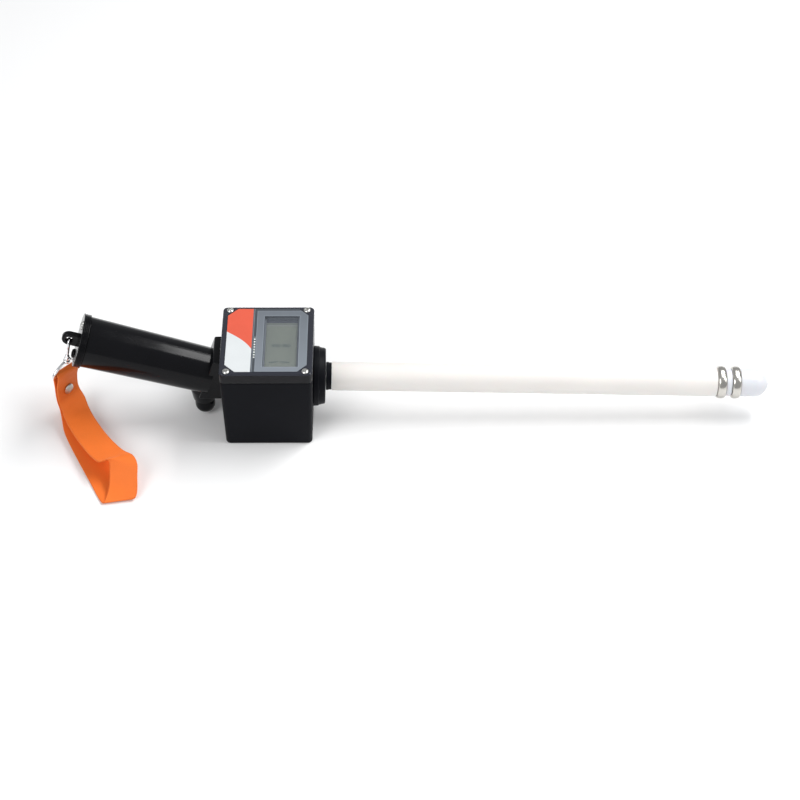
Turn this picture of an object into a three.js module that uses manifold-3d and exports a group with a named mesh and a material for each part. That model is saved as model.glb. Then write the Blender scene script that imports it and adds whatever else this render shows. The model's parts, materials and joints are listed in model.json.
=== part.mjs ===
// Grain moisture meter: a probe tube with two ring electrodes, a display head, a pistol-style
// handle with a measuring button, and a wrist strap on a snap hook.
// Millimetres, +Z up. The origin is the centre of the head's base face, and the probe points to +X.
import * as THREE from 'three';
import { mergeVertices } from 'three/addons/utils/BufferGeometryUtils.js';
import { ParametricGeometry } from 'three/addons/geometries/ParametricGeometry.js';
import Module from 'manifold-3d';

const wasm = await Module();
wasm.setup();

// ---------- driving dimensions (mm, degrees) ----------
const GAP = 0.3;        // air between pieces that touch on the real object
const DRAFT = 1.4;      // taper of the head's walls, degrees
const FACETS = 32;      // facets round a large turned piece
const FEW = 12;         // facets round a small turned piece
const PAD_FACETS = 28;  // facets round the lid's screw pads

const head = { x: 79.4, y: 85, z: 86, wall: 2.8, floor: 3, corner: 4, edge: 2 };
const lid = { height: 11.3, plate: 2.6, wall: 2.4, pad: 5.6, edge: 1.6 };
const lidScrew = {
  insetX: 6.3, insetY: 4.3, shankR: 1.5, headR: 3.2, headH: 1.9, sunk: 0.7, length: 14, pillarR: 4.4,
};
const seal = { width: 1.4, height: 1.2 };
const film = { thick: 0.35, endInset: 3.3, sideInset: 4.8, cornerCut: 8.6, labelWidth: 22.3 };
const lcd = {
  x: 27.4, y: 60.4, centreX: 12, centreY: 0.6, rim: 1.5, frameH: 4.7, glass: 1.4, drop: 0.9, sunk: 0.8,
};
const board = {
  x: head.x - 21.4, y: head.y - 21, thick: 1.6, below: 9, post: 3.4, insetX: 4.5, insetY: 4.5, sunk: 0.5,
};
const carrier = { endInset: 9, sideInset: 3 };
const chip = { x: [-20, -10], y: [-8, 6], height: 1.6 };
const relay = { x: [-22, -10], y: [12, 20], height: 5 };
const boardScrew = { shankR: 1.2, headR: 2.3, headH: 1.6, length: 8 };

const probe = { height: 43.4, length: 397.8, outerR: 12.5, wall: 1.5 };
const flange = { rootR: 26.2, lipR: 24, edge: 1.3, length: 10.4, spigotR: 17, spigotWall: 2.2 };
const lockNut = { thick: 7, acrossR: 22 };
const collar = { bigR: 12.3, smallR: 11.8, bigLength: 2, length: 4.7 };
const ring = { outerR: 14.3, width: 7.4, frontGap: 28.8, pitch: 12.7 };
const tip = { radius: 12.3, wall: 2.2 };
const sensorBoard = { width: 16, thick: 1.6, length: 62, canInset: 3, canHeight: 3, canFrom: 30, canTo: 14 };

const handle = { height: 45.5, tilt: 18.5, frontR: 19.9, rearR: 22, length: 123, wall: 2.6 };
const block = { halfY: 16.9, top: 75.2, bottom: 31.5, topThick: 6.6, edge: 2 };
const grip = { start: 12, hollow: 16.5, throat: 5, throatR: 13.4, wireR: 5 };
const handleScrew = { spreadY: 11, spreadZ: 15, rise: 6, shankR: 1.9, headR: 3.6, headH: 2.4, length: 8 };
const cap = { radius: 23.5, thick: 6, ribs: 3, ribDepth: 0.5, plug: 7 };
const capScrew = { offset: 17.2, shankR: 1.6, headR: 3.4, headH: 2.4, length: 9 };
const lug = { width: 12.8, thick: 5, reach: 14.2, hole: 3.2, edge: 1 };
const button = { radius: 8.7, along: 19.8, domeEnd: 49.4, travel: 2.5, clearance: 0.35 };
const boss = { rootR: button.radius + 3.2, endR: button.radius + 1.3, end: 33, root: 21, top: 8 };
const spring = { radius: 3.2, wire: 0.45, turns: 3.5, squeezed: 6.5 };
const micro = { x: 6.4, y: 2.9, height: 6.5, rail: [-9, -2.5], railH: 1.5 };
const cell = { radius: 7.1, length: 49.5, pitch: 7.45, nubR: 2.7, nubH: 1 };
const tray = { disc: 2.5, web: 0.9, rim: 2.2, behind: 9 };

const hook = { wire: 1.25, loopR: 4.3, drop: 24.5, bodyR: 2.5, swivelR: 3.1, lean: 11 };
const webbing = { width: 25, thick: 1.5 };
const dRing = { wire: 1.25, width: webbing.width + 5, height: 13, heading: 52 };
const rivet = { radius: 4.9, headH: 1, shankR: 1.8 };

// ---------- small maths ----------
const rad = THREE.MathUtils.degToRad;
const v3 = (x, y, z) => new THREE.Vector3(x, y, z);
const slope = Math.tan(rad(DRAFT));
const lidBase = head.z - lid.height;
const halfX = (z) => head.x / 2 - (head.z - z) * slope;
const halfY = (z) => head.y / 2 - (head.z - z) * slope;

// ---------- solids ----------
function weld(geometry) {
  const bare = geometry.index ? geometry.toNonIndexed() : geometry.clone();
  bare.deleteAttribute('normal');
  bare.deleteAttribute('uv');
  const merged = mergeVertices(bare, 1e-4);
  const kept = [];
  for (let i = 0; i < merged.index.count; i += 3) {
    const [a, b, c] = [0, 1, 2].map((step) => merged.index.getX(i + step));
    if (a !== b && b !== c && c !== a) kept.push(a, b, c);
  }
  merged.setIndex(kept);
  return merged;
}

function solid(geometry) {
  const bare = weld(geometry);
  const vertProperties = Float32Array.from(bare.attributes.position.array);
  const triVerts = Uint32Array.from(bare.index.array);
  return new wasm.Manifold(new wasm.Mesh({ numProp: 3, vertProperties, triVerts }));
}

const joined = (...parts) => parts.slice(1).reduce((sum, part) => sum.add(part), parts[0]);
const cut = (base, ...tools) => tools.reduce((left, tool) => left.subtract(tool), base);

function geometryOf(manifold) {
  const mesh = manifold.getMesh();
  const geometry = new THREE.BufferGeometry();
  const corners = new Float32Array(mesh.numVert * 3);
  for (let i = 0; i < mesh.numVert; i += 1) {
    for (let k = 0; k < 3; k += 1) corners[3 * i + k] = mesh.vertProperties[mesh.numProp * i + k];
  }
  geometry.setAttribute('position', new THREE.BufferAttribute(corners, 3));
  geometry.setIndex(new THREE.BufferAttribute(Uint32Array.from(mesh.triVerts), 1));
  return geometry;
}

// A box given by its lowest and highest corners.
function box(low, high) {
  const size = high.map((value, axis) => value - low[axis]);
  const geometry = new THREE.BoxGeometry(...size);
  geometry.translate(...low.map((value, axis) => value + size[axis] / 2));
  return solid(geometry);
}

// A turned piece about Z; each profile point is [radius, height].
function turned(profile, facets = FACETS) {
  const points = profile.map(([r, z]) => new THREE.Vector2(r, z));
  return solid(new THREE.LatheGeometry(points, facets).rotateX(Math.PI / 2));
}

function rod(radius, from, to, facets = FEW) {
  return turned([[0, from], [radius, from], [radius, to], [0, to]], facets);
}

function pipe(inner, outer, from, to, facets = FACETS) {
  return turned([[inner, from], [outer, from], [outer, to], [inner, to], [inner, from]], facets);
}

const moved = (manifold, x, y, z) => manifold.translate([x, y, z]);

function roundedRectangle(x, y, r) {
  const shape = new THREE.Shape();
  shape.moveTo(-x + r, -y);
  shape.lineTo(x - r, -y);
  shape.absarc(x - r, -y + r, r, -Math.PI / 2, 0);
  shape.lineTo(x, y - r);
  shape.absarc(x - r, y - r, r, 0, Math.PI / 2);
  shape.lineTo(-x + r, y);
  shape.absarc(-x + r, y - r, r, Math.PI / 2, Math.PI);
  shape.lineTo(-x, -y + r);
  shape.absarc(-x + r, -y + r, r, Math.PI, 1.5 * Math.PI);
  return shape;
}

// An upright block with the head's taper, `inset` inside the head's outer walls, with rounded
// edges of size `edge` at both ends.
function tapered(from, to, inset, corner, edge = 0) {
  const [topX, topY] = [halfX(to) - inset, halfY(to) - inset];
  const face = roundedRectangle(topX - edge, topY - edge, Math.max(corner - edge, 0.6));
  const geometry = new THREE.ExtrudeGeometry(face, {
    depth: to - from - 2 * edge, curveSegments: 3, steps: 1,
    bevelEnabled: edge > 0, bevelThickness: edge, bevelSize: edge, bevelSegments: 2,
  });
  geometry.translate(0, 0, from + edge);
  const place = geometry.attributes.position;
  for (let i = 0; i < place.count; i += 1) {
    const lean = (to - place.getZ(i)) * slope;
    place.setX(i, place.getX(i) * (1 - lean / topX));
    place.setY(i, place.getY(i) * (1 - lean / topY));
  }
  return solid(geometry);
}

// A flat plate cut from a list of [x, y] corners, from one height to another.
function plate(outline, from, to) {
  const shape = new THREE.Shape(outline.map(([x, y]) => new THREE.Vector2(x, y)));
  const geometry = new THREE.ExtrudeGeometry(shape, { depth: to - from, bevelEnabled: false });
  return solid(geometry.translate(0, 0, from));
}

// A round wire along a curve, with the section turned by the curve itself.
function wire(curve, radius, steps, facets = 8) {
  const section = new THREE.Shape().absarc(0, 0, radius, 0, 2 * Math.PI);
  return solid(new THREE.ExtrudeGeometry(section, {
    extrudePath: curve, steps, curveSegments: facets / 2, bevelEnabled: false,
  }));
}

// A pan-head screw along Z: the head sits on height 0 and the shank goes down from it.
// A cross-shaped recess is sunk in the head.
function panScrew({ shankR, headR, headH, length }) {
  const rim = headR * 0.72;
  const body = turned([[0, -length], [shankR, -length], [shankR, 0], [headR, 0], [headR, headH * 0.45],
    [rim, headH * 0.9], [0, headH]], FEW);
  const arm = headR * 0.62;
  const slot = headR * 0.14;
  return cut(body, box([-arm, -slot, headH * 0.45], [arm, slot, headH + 1]),
    box([-slot, -arm, headH * 0.45], [slot, arm, headH + 1]));
}

// ---------- the model tree ----------
const meter = new THREE.Group();
const probeAxis = new THREE.Group();
const handleAxis = new THREE.Group();
meter.add(probeAxis, handleAxis);

const finish = {
  satinBlack: { color: 0x1c1d21, roughness: 0.5, metalness: 0 },
  glossBlack: { color: 0x101012, roughness: 0.18, metalness: 0 },
  clear: { color: 0xcdd6de, roughness: 0.08, metalness: 0 },
  rubber: { color: 0x151515, roughness: 0.85, metalness: 0 },
  chrome: { color: 0xd8d8d8, roughness: 0.15, metalness: 1 },
  steel: { color: 0xb4b4b0, roughness: 0.3, metalness: 1 },
  label: { color: 0xe4572c, roughness: 0.35, metalness: 0 },
  greyFilm: { color: 0x8b93a0, roughness: 0.2, metalness: 0 },
  lcdGlass: { color: 0x858a7d, roughness: 0.25, metalness: 0 },
  greenBoard: { color: 0x1f5b38, roughness: 0.5, metalness: 0 },
  warmWhite: { color: 0xeeece8, roughness: 0.45, metalness: 0 },
  coolWhite: { color: 0xe2e6ee, roughness: 0.4, metalness: 0 },
  battery: { color: 0x2f4f7f, roughness: 0.35, metalness: 0.2 },
  orangeWeb: { color: 0xf07a28, roughness: 0.8, metalness: 0 },
};

function add(name, manifold, look, parent = meter) {
  const mesh = new THREE.Mesh(geometryOf(manifold), new THREE.MeshStandardMaterial(finish[look]));
  mesh.name = name;
  parent.add(mesh);
  return mesh;
}

const corners = [[-1, 1], [1, 1], [1, -1], [-1, -1]];

// ---------- probe and handle axes ----------
const probeRoot = v3(halfX(probe.height), 0, probe.height);
probeAxis.position.copy(probeRoot);
probeAxis.rotation.y = Math.PI / 2 + rad(DRAFT);
const handleRoot = v3(-halfX(handle.height), 0, handle.height);
handleAxis.position.copy(handleRoot);
handleAxis.rotation.y = -(Math.PI / 2 - rad(handle.tilt));
const along = (root, group, x, y, z) => v3(x, y, z).applyEuler(group.rotation).add(root);

// The same turn as a group's, for tools that cut a piece outside that group.
function inGroup(manifold, root, group) {
  const turn = new THREE.Matrix4().makeRotationFromEuler(group.rotation).setPosition(root);
  return manifold.transform(turn.toArray());
}

// ---------- head ----------
const screwX = head.x / 2 - lidScrew.insetX;
const screwY = head.y / 2 - lidScrew.insetY;
const padTop = head.z - lidScrew.sunk;
const postTop = lidBase - board.below;
const postX = board.x / 2 - board.insetX;
const postY = board.y / 2 - board.insetY;
const boltMiddle = handle.height + handleScrew.rise;
const handleBolts = corners.map(([y, z]) => [y * handleScrew.spreadY, boltMiddle + z * handleScrew.spreadZ]);
const atScrews = (tool) => corners.map(([x, y]) => moved(tool, x * screwX, y * screwY, 0));
const atPosts = (tool) => corners.map(([x, y]) => moved(tool, x * postX, y * postY, 0));

function headBody() {
  const rough = tapered(0, lidBase + 2 * head.edge, 0, head.corner, head.edge);
  const shell = rough.intersect(box([-head.x, -head.y, 0], [head.x, head.y, lidBase]));
  const hollow = tapered(head.floor, lidBase + 5, head.wall, head.corner - head.wall + 1);
  const inside = tapered(head.floor / 2, lidBase, head.wall / 2, head.corner);
  const pillars = atScrews(rod(lidScrew.pillarR, head.floor / 2, lidBase));
  const posts = atPosts(rod(board.post, head.floor / 2, postTop));
  const solids = joined(cut(shell, hollow), ...pillars.map((pillar) => pillar.intersect(inside)), ...posts);
  const depth = lidScrew.length - (padTop - lidBase) + 2;
  const lidHoles = atScrews(rod(lidScrew.shankR + GAP / 2, lidBase - depth, lidBase + 1));
  const boardHoles = atPosts(rod(boardScrew.shankR + GAP / 2, postTop - boardScrew.length, postTop + 1));
  const spigot = rod(flange.spigotR + GAP, -3 * head.wall, head.wall, FACETS);
  const wallHole = (y, z, r) => rod(r, -4 * head.wall, head.wall).rotate([0, -90 - DRAFT, 0])
    .translate([-halfX(z), y, z]);
  const boltHoles = handleBolts.map(([y, z]) => wallHole(y, z, handleScrew.shankR + GAP / 2));
  return cut(solids, ...lidHoles, ...boardHoles, inGroup(spigot, probeRoot, probeAxis),
    wallHole(0, handle.height, grip.wireR + 1), ...boltHoles);
}

function clearLid() {
  const base = lidBase + GAP;
  const rough = tapered(base - 4, head.z, 0, head.corner, lid.edge);
  const shell = rough.intersect(box([-head.x, -head.y, base], [head.x, head.y, head.z]));
  const skin = cut(shell, tapered(base - 1, head.z - lid.plate, lid.wall, head.corner - 1));
  const inside = tapered(base, head.z - lid.plate / 2, lid.wall / 2, head.corner);
  const pads = atScrews(rod(lid.pad, base, head.z - lid.plate / 2, PAD_FACETS));
  const holes = atScrews(rod(lidScrew.shankR + GAP / 2, base - 1, head.z + 1));
  const seats = atScrews(rod(lidScrew.headR + GAP, padTop - GAP, head.z + 1));
  return cut(joined(skin, ...pads.map((pad) => pad.intersect(inside))), ...holes, ...seats);
}

// The gasket lies in the lid's recess, on the body's rim.
function lidSeal() {
  const inset = lid.wall + GAP;
  const outer = tapered(lidBase, lidBase + seal.height, inset, head.corner - 1.5);
  const inner = tapered(lidBase - 1, lidBase + seal.height + 1, inset + seal.width, head.corner - 2);
  const above = lidBase + 2 * seal.height;
  const pads = atScrews(rod(lid.pad + GAP, lidBase - 1, above, PAD_FACETS));
  const innerPads = atScrews(rod(lid.pad + GAP + seal.width, lidBase - 1, above, PAD_FACETS));
  const hollow = cut(inner, ...innerPads);
  return cut(outer, hollow, ...pads);
}

// Face films: an eight-sided outline with its corners cut clear of the lid's screws,
// split into an opaque label and a tinted display window by a bar.
const filmX = head.x / 2 - film.sideInset;
const filmY = head.y / 2 - film.endInset;
const barFrom = -filmX + film.labelWidth;

function faceFilm(from, to) {
  const c = film.cornerCut;
  const outline = [[-filmX + c, -filmY], [filmX - c, -filmY], [filmX, -filmY + c], [filmX, filmY - c],
    [filmX - c, filmY], [-filmX + c, filmY], [-filmX, filmY - c], [-filmX, -filmY + c]];
  const whole = plate(outline, head.z, head.z + film.thick);
  return whole.intersect(box([from, -head.y, head.z - 1], [to, head.y, head.z + 1]));
}

function lcdFrame() {
  const top = head.z - lid.plate - lcd.drop;
  const [x, y] = [lcd.x / 2, lcd.y / 2];
  const outer = box([-x - lcd.rim, -y - lcd.rim, top - lcd.frameH], [x + lcd.rim, y + lcd.rim, top]);
  const view = box([-x, -y, top - lcd.frameH - 1], [x, y, top + 1]);
  return moved(cut(outer, view), lcd.centreX, lcd.centreY, 0);
}

function lcdGlass() {
  const top = head.z - lid.plate - lcd.drop - lcd.sunk;
  const [x, y] = [lcd.x / 2 - GAP / 2, lcd.y / 2 - GAP / 2];
  return moved(box([-x, -y, top - lcd.glass], [x, y, top]), lcd.centreX, lcd.centreY, 0);
}

// The board carries a block under the display, a chip and a relay.
const boardTop = postTop + GAP / 2 + board.thick;

function circuitBoard() {
  const sheet = box([-board.x / 2, -board.y / 2, postTop + GAP / 2], [board.x / 2, board.y / 2, boardTop]);
  const carrierTop = head.z - lid.plate - lcd.drop - lcd.frameH - GAP;
  const foot = boardTop - board.sunk;
  const [x, y] = [lcd.x / 2, lcd.y / 2 - carrier.endInset];
  const block = box([-x, -y, foot], [x - carrier.sideInset, y, carrierTop]);
  const stand = moved(block, lcd.centreX, lcd.centreY, 0);
  const onBoard = [chip, relay].map((item) => box([item.x[0], item.y[0], foot],
    [item.x[1], item.y[1], boardTop + item.height]));
  const holes = atPosts(rod(boardScrew.shankR + GAP / 2, postTop - 1, boardTop + 1));
  return cut(joined(sheet, stand, ...onBoard), ...holes);
}

function buildHead() {
  add('head_body', headBody(), 'satinBlack');
  add('clear_lid', clearLid(), 'clear');
  add('lid_seal', lidSeal(), 'rubber');
  add('face_label', faceFilm(-head.x, barFrom), 'label');
  add('face_window', faceFilm(barFrom + GAP, head.x), 'greyFilm');
  add('lcd_frame', lcdFrame(), 'greyFilm');
  add('lcd_glass', lcdGlass(), 'lcdGlass');
  add('circuit_board', circuitBoard(), 'greenBoard');
  corners.forEach(([x, y], i) => {
    const screw = add(`lid_screw_${i + 1}`, panScrew(lidScrew), 'chrome');
    screw.position.set(x * screwX, y * screwY, padTop);
    screw.rotation.z = rad(20 + 31 * i);
    const small = add(`board_screw_${i + 1}`, panScrew(boardScrew), 'steel');
    small.position.set(x * postX, y * postY, boardTop + GAP / 2);
  });
}

// ---------- probe: local Z runs from the head's wall to the tip ----------
const tubeStart = GAP + flange.length + GAP + collar.length + GAP;
const rings = { front: probe.length - ring.frontGap, rear: probe.length - ring.frontGap - ring.pitch };
const tubeEnd = rings.rear - ring.width / 2 - GAP;
const bore = probe.outerR - probe.wall;
const spigotBack = -head.wall - GAP - lockNut.thick - 2;

function probeFlange() {
  const { rootR, lipR, edge, spigotR, spigotWall } = flange;
  const face = GAP + flange.length;
  const outside = [[spigotR - spigotWall, spigotBack], [spigotR, spigotBack], [spigotR, GAP],
    [rootR, GAP], [lipR, face - edge], [lipR - edge, face], [0, face]];
  const inner = [[0, GAP + flange.length / 2], [spigotR - spigotWall, GAP + flange.length / 2]];
  const body = turned([...inner, ...outside]);
  return body.subtract(rod(2.5, 0, flange.length + 1));
}

// An eight-sided nut screwed on the spigot from inside the head.
function flangeNut() {
  const back = -head.wall - GAP - lockNut.thick;
  return cut(rod(lockNut.acrossR, back, -head.wall - GAP - 0.15, 8),
    rod(flange.spigotR + GAP / 2, back - 1, 0, FACETS));
}

function probeCollar() {
  const start = GAP + flange.length + GAP;
  return turned([[3, start], [collar.bigR, start], [collar.bigR, start + collar.bigLength],
    [collar.smallR, start + collar.bigLength + 0.4], [collar.smallR, start + collar.length],
    [3, start + collar.length], [3, start]]);
}

// A ring electrode: half-round outside, seated in the gap between the tube, spacer and tip.
function ringElectrode(centre) {
  const half = ring.width / 2;
  const seat = probe.outerR - 1.1;
  const profile = [[seat, -half]];
  const steps = 6;
  for (let i = 0; i <= steps; i += 1) {
    const turn = Math.PI * (1 - i / steps);
    const lift = Math.sin(turn) ** 0.7;
    profile.push([seat + (ring.outerR - seat) * (0.35 + 0.65 * lift), half * Math.cos(turn)]);
  }
  profile.push([seat, half], [seat, -half]);
  return moved(turned(profile), 0, 0, centre);
}

// The short sleeve between the two rings.
function electrodeSpacer() {
  const from = rings.rear + ring.width / 2 + GAP;
  const to = rings.front - ring.width / 2 - GAP;
  return pipe(bore - 1.5, tip.radius - 0.4, from, to);
}

function probeTip() {
  const base = rings.front + ring.width / 2 + GAP;
  const dome = probe.length - tip.radius;
  const profile = [[tip.radius - tip.wall, base], [tip.radius, base], [tip.radius, dome]];
  const steps = 6;
  const arc = (r, z, turn) => [r * Math.cos(turn), z + r * Math.sin(turn)];
  for (let i = 1; i <= steps; i += 1) profile.push(arc(tip.radius, dome, (Math.PI / 2) * (i / steps)));
  const inner = tip.radius - tip.wall;
  const inside = 3;
  for (let i = inside; i >= 0; i -= 1) profile.push(arc(inner, dome, (Math.PI / 2) * (i / inside)));
  profile.push([inner, base]);
  return turned(profile);
}

function sensorStrip() {
  const to = rings.rear - ring.width;
  const [x, y] = [sensorBoard.width / 2, sensorBoard.thick / 2];
  const strip = box([-x, -y, to - sensorBoard.length], [x, y, to]);
  const { canInset, canHeight, canFrom, canTo } = sensorBoard;
  const can = box([canInset - x, y - board.sunk, to - canFrom], [x - canInset, y + canHeight, to - canTo]);
  return strip.add(can);
}

function buildProbe() {
  add('probe_flange', probeFlange(), 'satinBlack', probeAxis);
  add('flange_nut', flangeNut(), 'satinBlack', probeAxis);
  add('probe_collar', probeCollar(), 'satinBlack', probeAxis);
  add('probe_tube', pipe(bore, probe.outerR, tubeStart, tubeEnd), 'warmWhite', probeAxis);
  add('electrode_ring_rear', ringElectrode(rings.rear), 'steel', probeAxis);
  add('electrode_spacer', electrodeSpacer(), 'coolWhite', probeAxis);
  add('electrode_ring_front', ringElectrode(rings.front), 'steel', probeAxis);
  add('probe_tip', probeTip(), 'coolWhite', probeAxis);
  add('sensor_board', sensorStrip(), 'greenBoard', probeAxis);
}

// ---------- handle: local Z runs from the head's wall to the end cap, local X is up ----------
const capFace = handle.length + GAP;
const capEnd = capFace + cap.thick;
const handleR = (z) => handle.frontR + (handle.rearR - handle.frontR) * (z / handle.length);
const tan = Math.tan(rad(handle.tilt));
const wallFace = (z) => -halfX(z) - GAP;
const blockFace = (z) => wallFace(block.top) - block.topThick - (block.top - z) * tan;

// The wedge that joins the handle to the head's wall: its outer face is square to the handle.
function handleBlock() {
  const outline = [[wallFace(block.bottom), block.bottom], [wallFace(block.top), block.top],
    [blockFace(block.top), block.top], [blockFace(block.bottom), block.bottom]];
  const shape = new THREE.Shape(outline.map(([x, z]) => new THREE.Vector2(x, z)));
  const geometry = new THREE.ExtrudeGeometry(shape, {
    depth: 2 * (block.halfY - block.edge), bevelEnabled: true, bevelThickness: block.edge, bevelSize: 0.01,
    bevelOffset: -0.01, bevelSegments: 1,
  });
  return solid(geometry.rotateX(Math.PI / 2).translate(0, block.halfY - block.edge, 0));
}

const buttonRoot = along(handleRoot, handleAxis, 0, 0, button.along);

function handleShell() {
  const { start, hollow, throat, throatR } = grip;
  const { rearR, length, wall } = handle;
  const outside = turned([[0, start], [handleR(start), start], [rearR, length], [0, length]]);
  const inside = turned([[0, throat], [throatR, throat], [throatR, hollow], [handleR(hollow) - wall, hollow],
    [rearR - wall, length + 1], [0, length + 1]]);
  const wireWay = rod(grip.wireR, -2 * handle.frontR, 2 * grip.wireR).rotate([0, 90, 0])
    .translate([-halfX(handle.height), 0, handle.height]);
  const flare = [[0, -boss.end], [boss.endR, -boss.end], [boss.rootR, -boss.root], [boss.rootR, -boss.top]];
  const buttonBoss = turned([...flare, [0, -boss.top]]).translate([buttonRoot.x, 0, buttonRoot.z]);
  const shell = joined(handleBlock(), inGroup(outside, handleRoot, handleAxis), buttonBoss);
  let body = cut(shell, inGroup(inside, handleRoot, handleAxis), wireWay);
  const buttonBore = rod(button.radius + button.clearance, -boss.end - 1, -handle.frontR / 2, 24);
  body = cut(body, buttonBore.translate([buttonRoot.x, 0, buttonRoot.z]));
  const hole = rod(handleScrew.shankR + GAP / 2, -head.wall, handleScrew.length).rotate([0, -90 - DRAFT, 0]);
  for (const [y, z] of handleBolts) body = body.subtract(hole.translate([-halfX(z), y, z]));
  return body;
}

function buildHandleScrews() {
  handleBolts.forEach(([y, z], i) => {
    const screw = add(`handle_screw_${i + 1}`, panScrew(handleScrew), 'steel');
    screw.rotation.y = Math.PI / 2 - rad(DRAFT);
    const inward = v3(head.wall + GAP, 0, 0);
    screw.position.copy(v3(-halfX(z), y, z).add(inward));
  });
}

// The domed button slides up into the boss under the grip. Local Z is up, from the grip's axis.
const buttonTop = -handle.frontR + 1;

function measureButton() {
  const r = button.radius;
  const domeZ = -button.domeEnd + r;
  const profile = [];
  const steps = 6;
  for (let i = steps; i >= 0; i -= 1) {
    const turn = (Math.PI / 2) * (i / steps);
    profile.push([r * Math.cos(turn), domeZ - r * Math.sin(turn)]);
  }
  profile.push([r, buttonTop - 3], [r * 0.7, buttonTop - 3], [r * 0.7, buttonTop], [0, buttonTop]);
  return turned(profile, 24);
}

class Helix extends THREE.Curve {
  constructor(radius, turns, from, to) {
    super();
    Object.assign(this, { radius, turns, from, to });
  }

  getPoint(t, target = new THREE.Vector3()) {
    const turn = 2 * Math.PI * this.turns * t;
    const height = this.from + (this.to - this.from) * t;
    return target.set(this.radius * Math.cos(turn), this.radius * Math.sin(turn), height);
  }
}

const springBase = buttonTop + GAP + spring.wire;
const springEnd = springBase + spring.squeezed + button.travel;

function buttonSpring() {
  const helix = new Helix(spring.radius, spring.turns, springBase, springEnd);
  return wire(helix, spring.wire, 48, 6);
}

function microSwitch() {
  const base = springEnd + spring.wire + GAP;
  const reach = handle.frontR - handle.wall - GAP;
  const top = base + micro.height;
  const railFrom = top - micro.railH / 3;
  const rail = box([micro.rail[0], -reach, railFrom], [micro.rail[1], reach, railFrom + micro.railH]);
  return joined(box([-micro.x, -micro.y, base], [micro.x, micro.y, top]), rail);
}

function buildButton() {
  const group = new THREE.Group();
  group.position.set(buttonRoot.x, 0, buttonRoot.z);
  meter.add(group);
  add('measure_button', measureButton(), 'satinBlack', group);
  add('button_spring', buttonSpring(), 'steel', group);
  add('micro_switch', microSwitch(), 'satinBlack', group);
}

// Four cells lie side by side along the grip, in a tray with a disc at each end.
const trayFrom = capFace - cap.plug - GAP - cell.length - 2 * cell.nubH - tray.behind;
const cellFrom = trayFrom + tray.disc + GAP;

function batteryTray() {
  const { disc, web, rim } = tray;
  const discR = 2 * cell.pitch + rim;
  const far = cellFrom + cell.length + cell.nubH + 2 * GAP;
  const ends = joined(rod(discR, trayFrom, trayFrom + disc, FACETS), rod(discR, far, far + disc, FACETS));
  const spine = joined(box([-web, -discR + 1, trayFrom], [web, discR - 1, far + 1]),
    box([-discR + 1, -web, trayFrom], [discR - 1, web, far + 1]));
  const clear = rod(cell.radius + GAP / 2, cellFrom - GAP, cellFrom + cell.length + cell.nubH + GAP, 24);
  const rooms = corners.map(([x, y]) => moved(clear, x * cell.pitch, y * cell.pitch, 0));
  return cut(joined(ends, spine), ...rooms);
}

function batteryCell() {
  const top = cellFrom + cell.length;
  return turned([[0, cellFrom], [cell.radius, cellFrom], [cell.radius, top], [cell.nubR, top],
    [cell.nubR, top + cell.nubH], [0, top + cell.nubH]], 14);
}

// The end cap: a ribbed disc with a plug that goes into the grip, and the strap lug on its face.
function lugSolid() {
  const half = lug.width / 2;
  const shape = new THREE.Shape();
  shape.moveTo(-half, -1);
  shape.lineTo(half, -1);
  shape.lineTo(half, lug.reach - half);
  shape.absarc(0, lug.reach - half, half, 0, Math.PI);
  const { edge } = lug;
  const geometry = new THREE.ExtrudeGeometry(shape, {
    depth: lug.thick - 2 * edge, curveSegments: 6, bevelEnabled: true, bevelThickness: edge, bevelSize: edge,
    bevelOffset: -edge, bevelSegments: 2,
  });
  geometry.translate(0, 0, edge - lug.thick / 2).rotateX(Math.PI / 2);
  const hole = rod(lug.hole, -lug.thick, lug.thick, 24).rotate([90, 0, 0]);
  return cut(solid(geometry), moved(hole, 0, 0, lug.reach - half)).translate([0, 0, capEnd]);
}

function endCap() {
  const plugR = handle.rearR - handle.wall - 0.25;
  const profile = [[plugR - 2.4, capFace - cap.plug], [plugR, capFace - cap.plug], [plugR, capFace],
    [cap.radius - 0.5, capFace], [cap.radius, capFace + 0.5]];
  const rib = (cap.thick - 1.6) / cap.ribs;
  for (let i = 0; i < cap.ribs; i += 1) {
    const z = capFace + 0.8 + i * rib;
    profile.push([cap.radius, z], [cap.radius - cap.ribDepth, z + rib * 0.25],
      [cap.radius - cap.ribDepth, z + rib * 0.5], [cap.radius, z + rib * 0.8]);
  }
  profile.push([cap.radius, capEnd - 0.6], [cap.radius - 0.8, capEnd], [0, capEnd], [0, capFace + 2.5],
    [plugR - 2.4, capFace + 2.5], [plugR - 2.4, capFace - cap.plug]);
  const atSides = (tool) => [-1, 1].map((side) => moved(tool, side * capScrew.offset, 0, 0));
  const inPlug = rod(plugR, 0, capEnd, FACETS);
  const posts = atSides(rod(2 * capScrew.shankR, capFace - cap.plug, capFace + cap.thick / 2));
  const holes = atSides(rod(capScrew.shankR + GAP / 2, capFace - cap.plug - 1, capEnd + 1));
  const body = joined(turned(profile), lugSolid(), ...posts.map((post) => post.intersect(inPlug)));
  return cut(body, ...holes);
}

function capSeal() {
  const plugR = handle.rearR - handle.wall;
  const from = capFace - cap.plug - 1.6;
  return pipe(plugR - 1.9, plugR - 0.2, from, from + 1.3);
}

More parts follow.
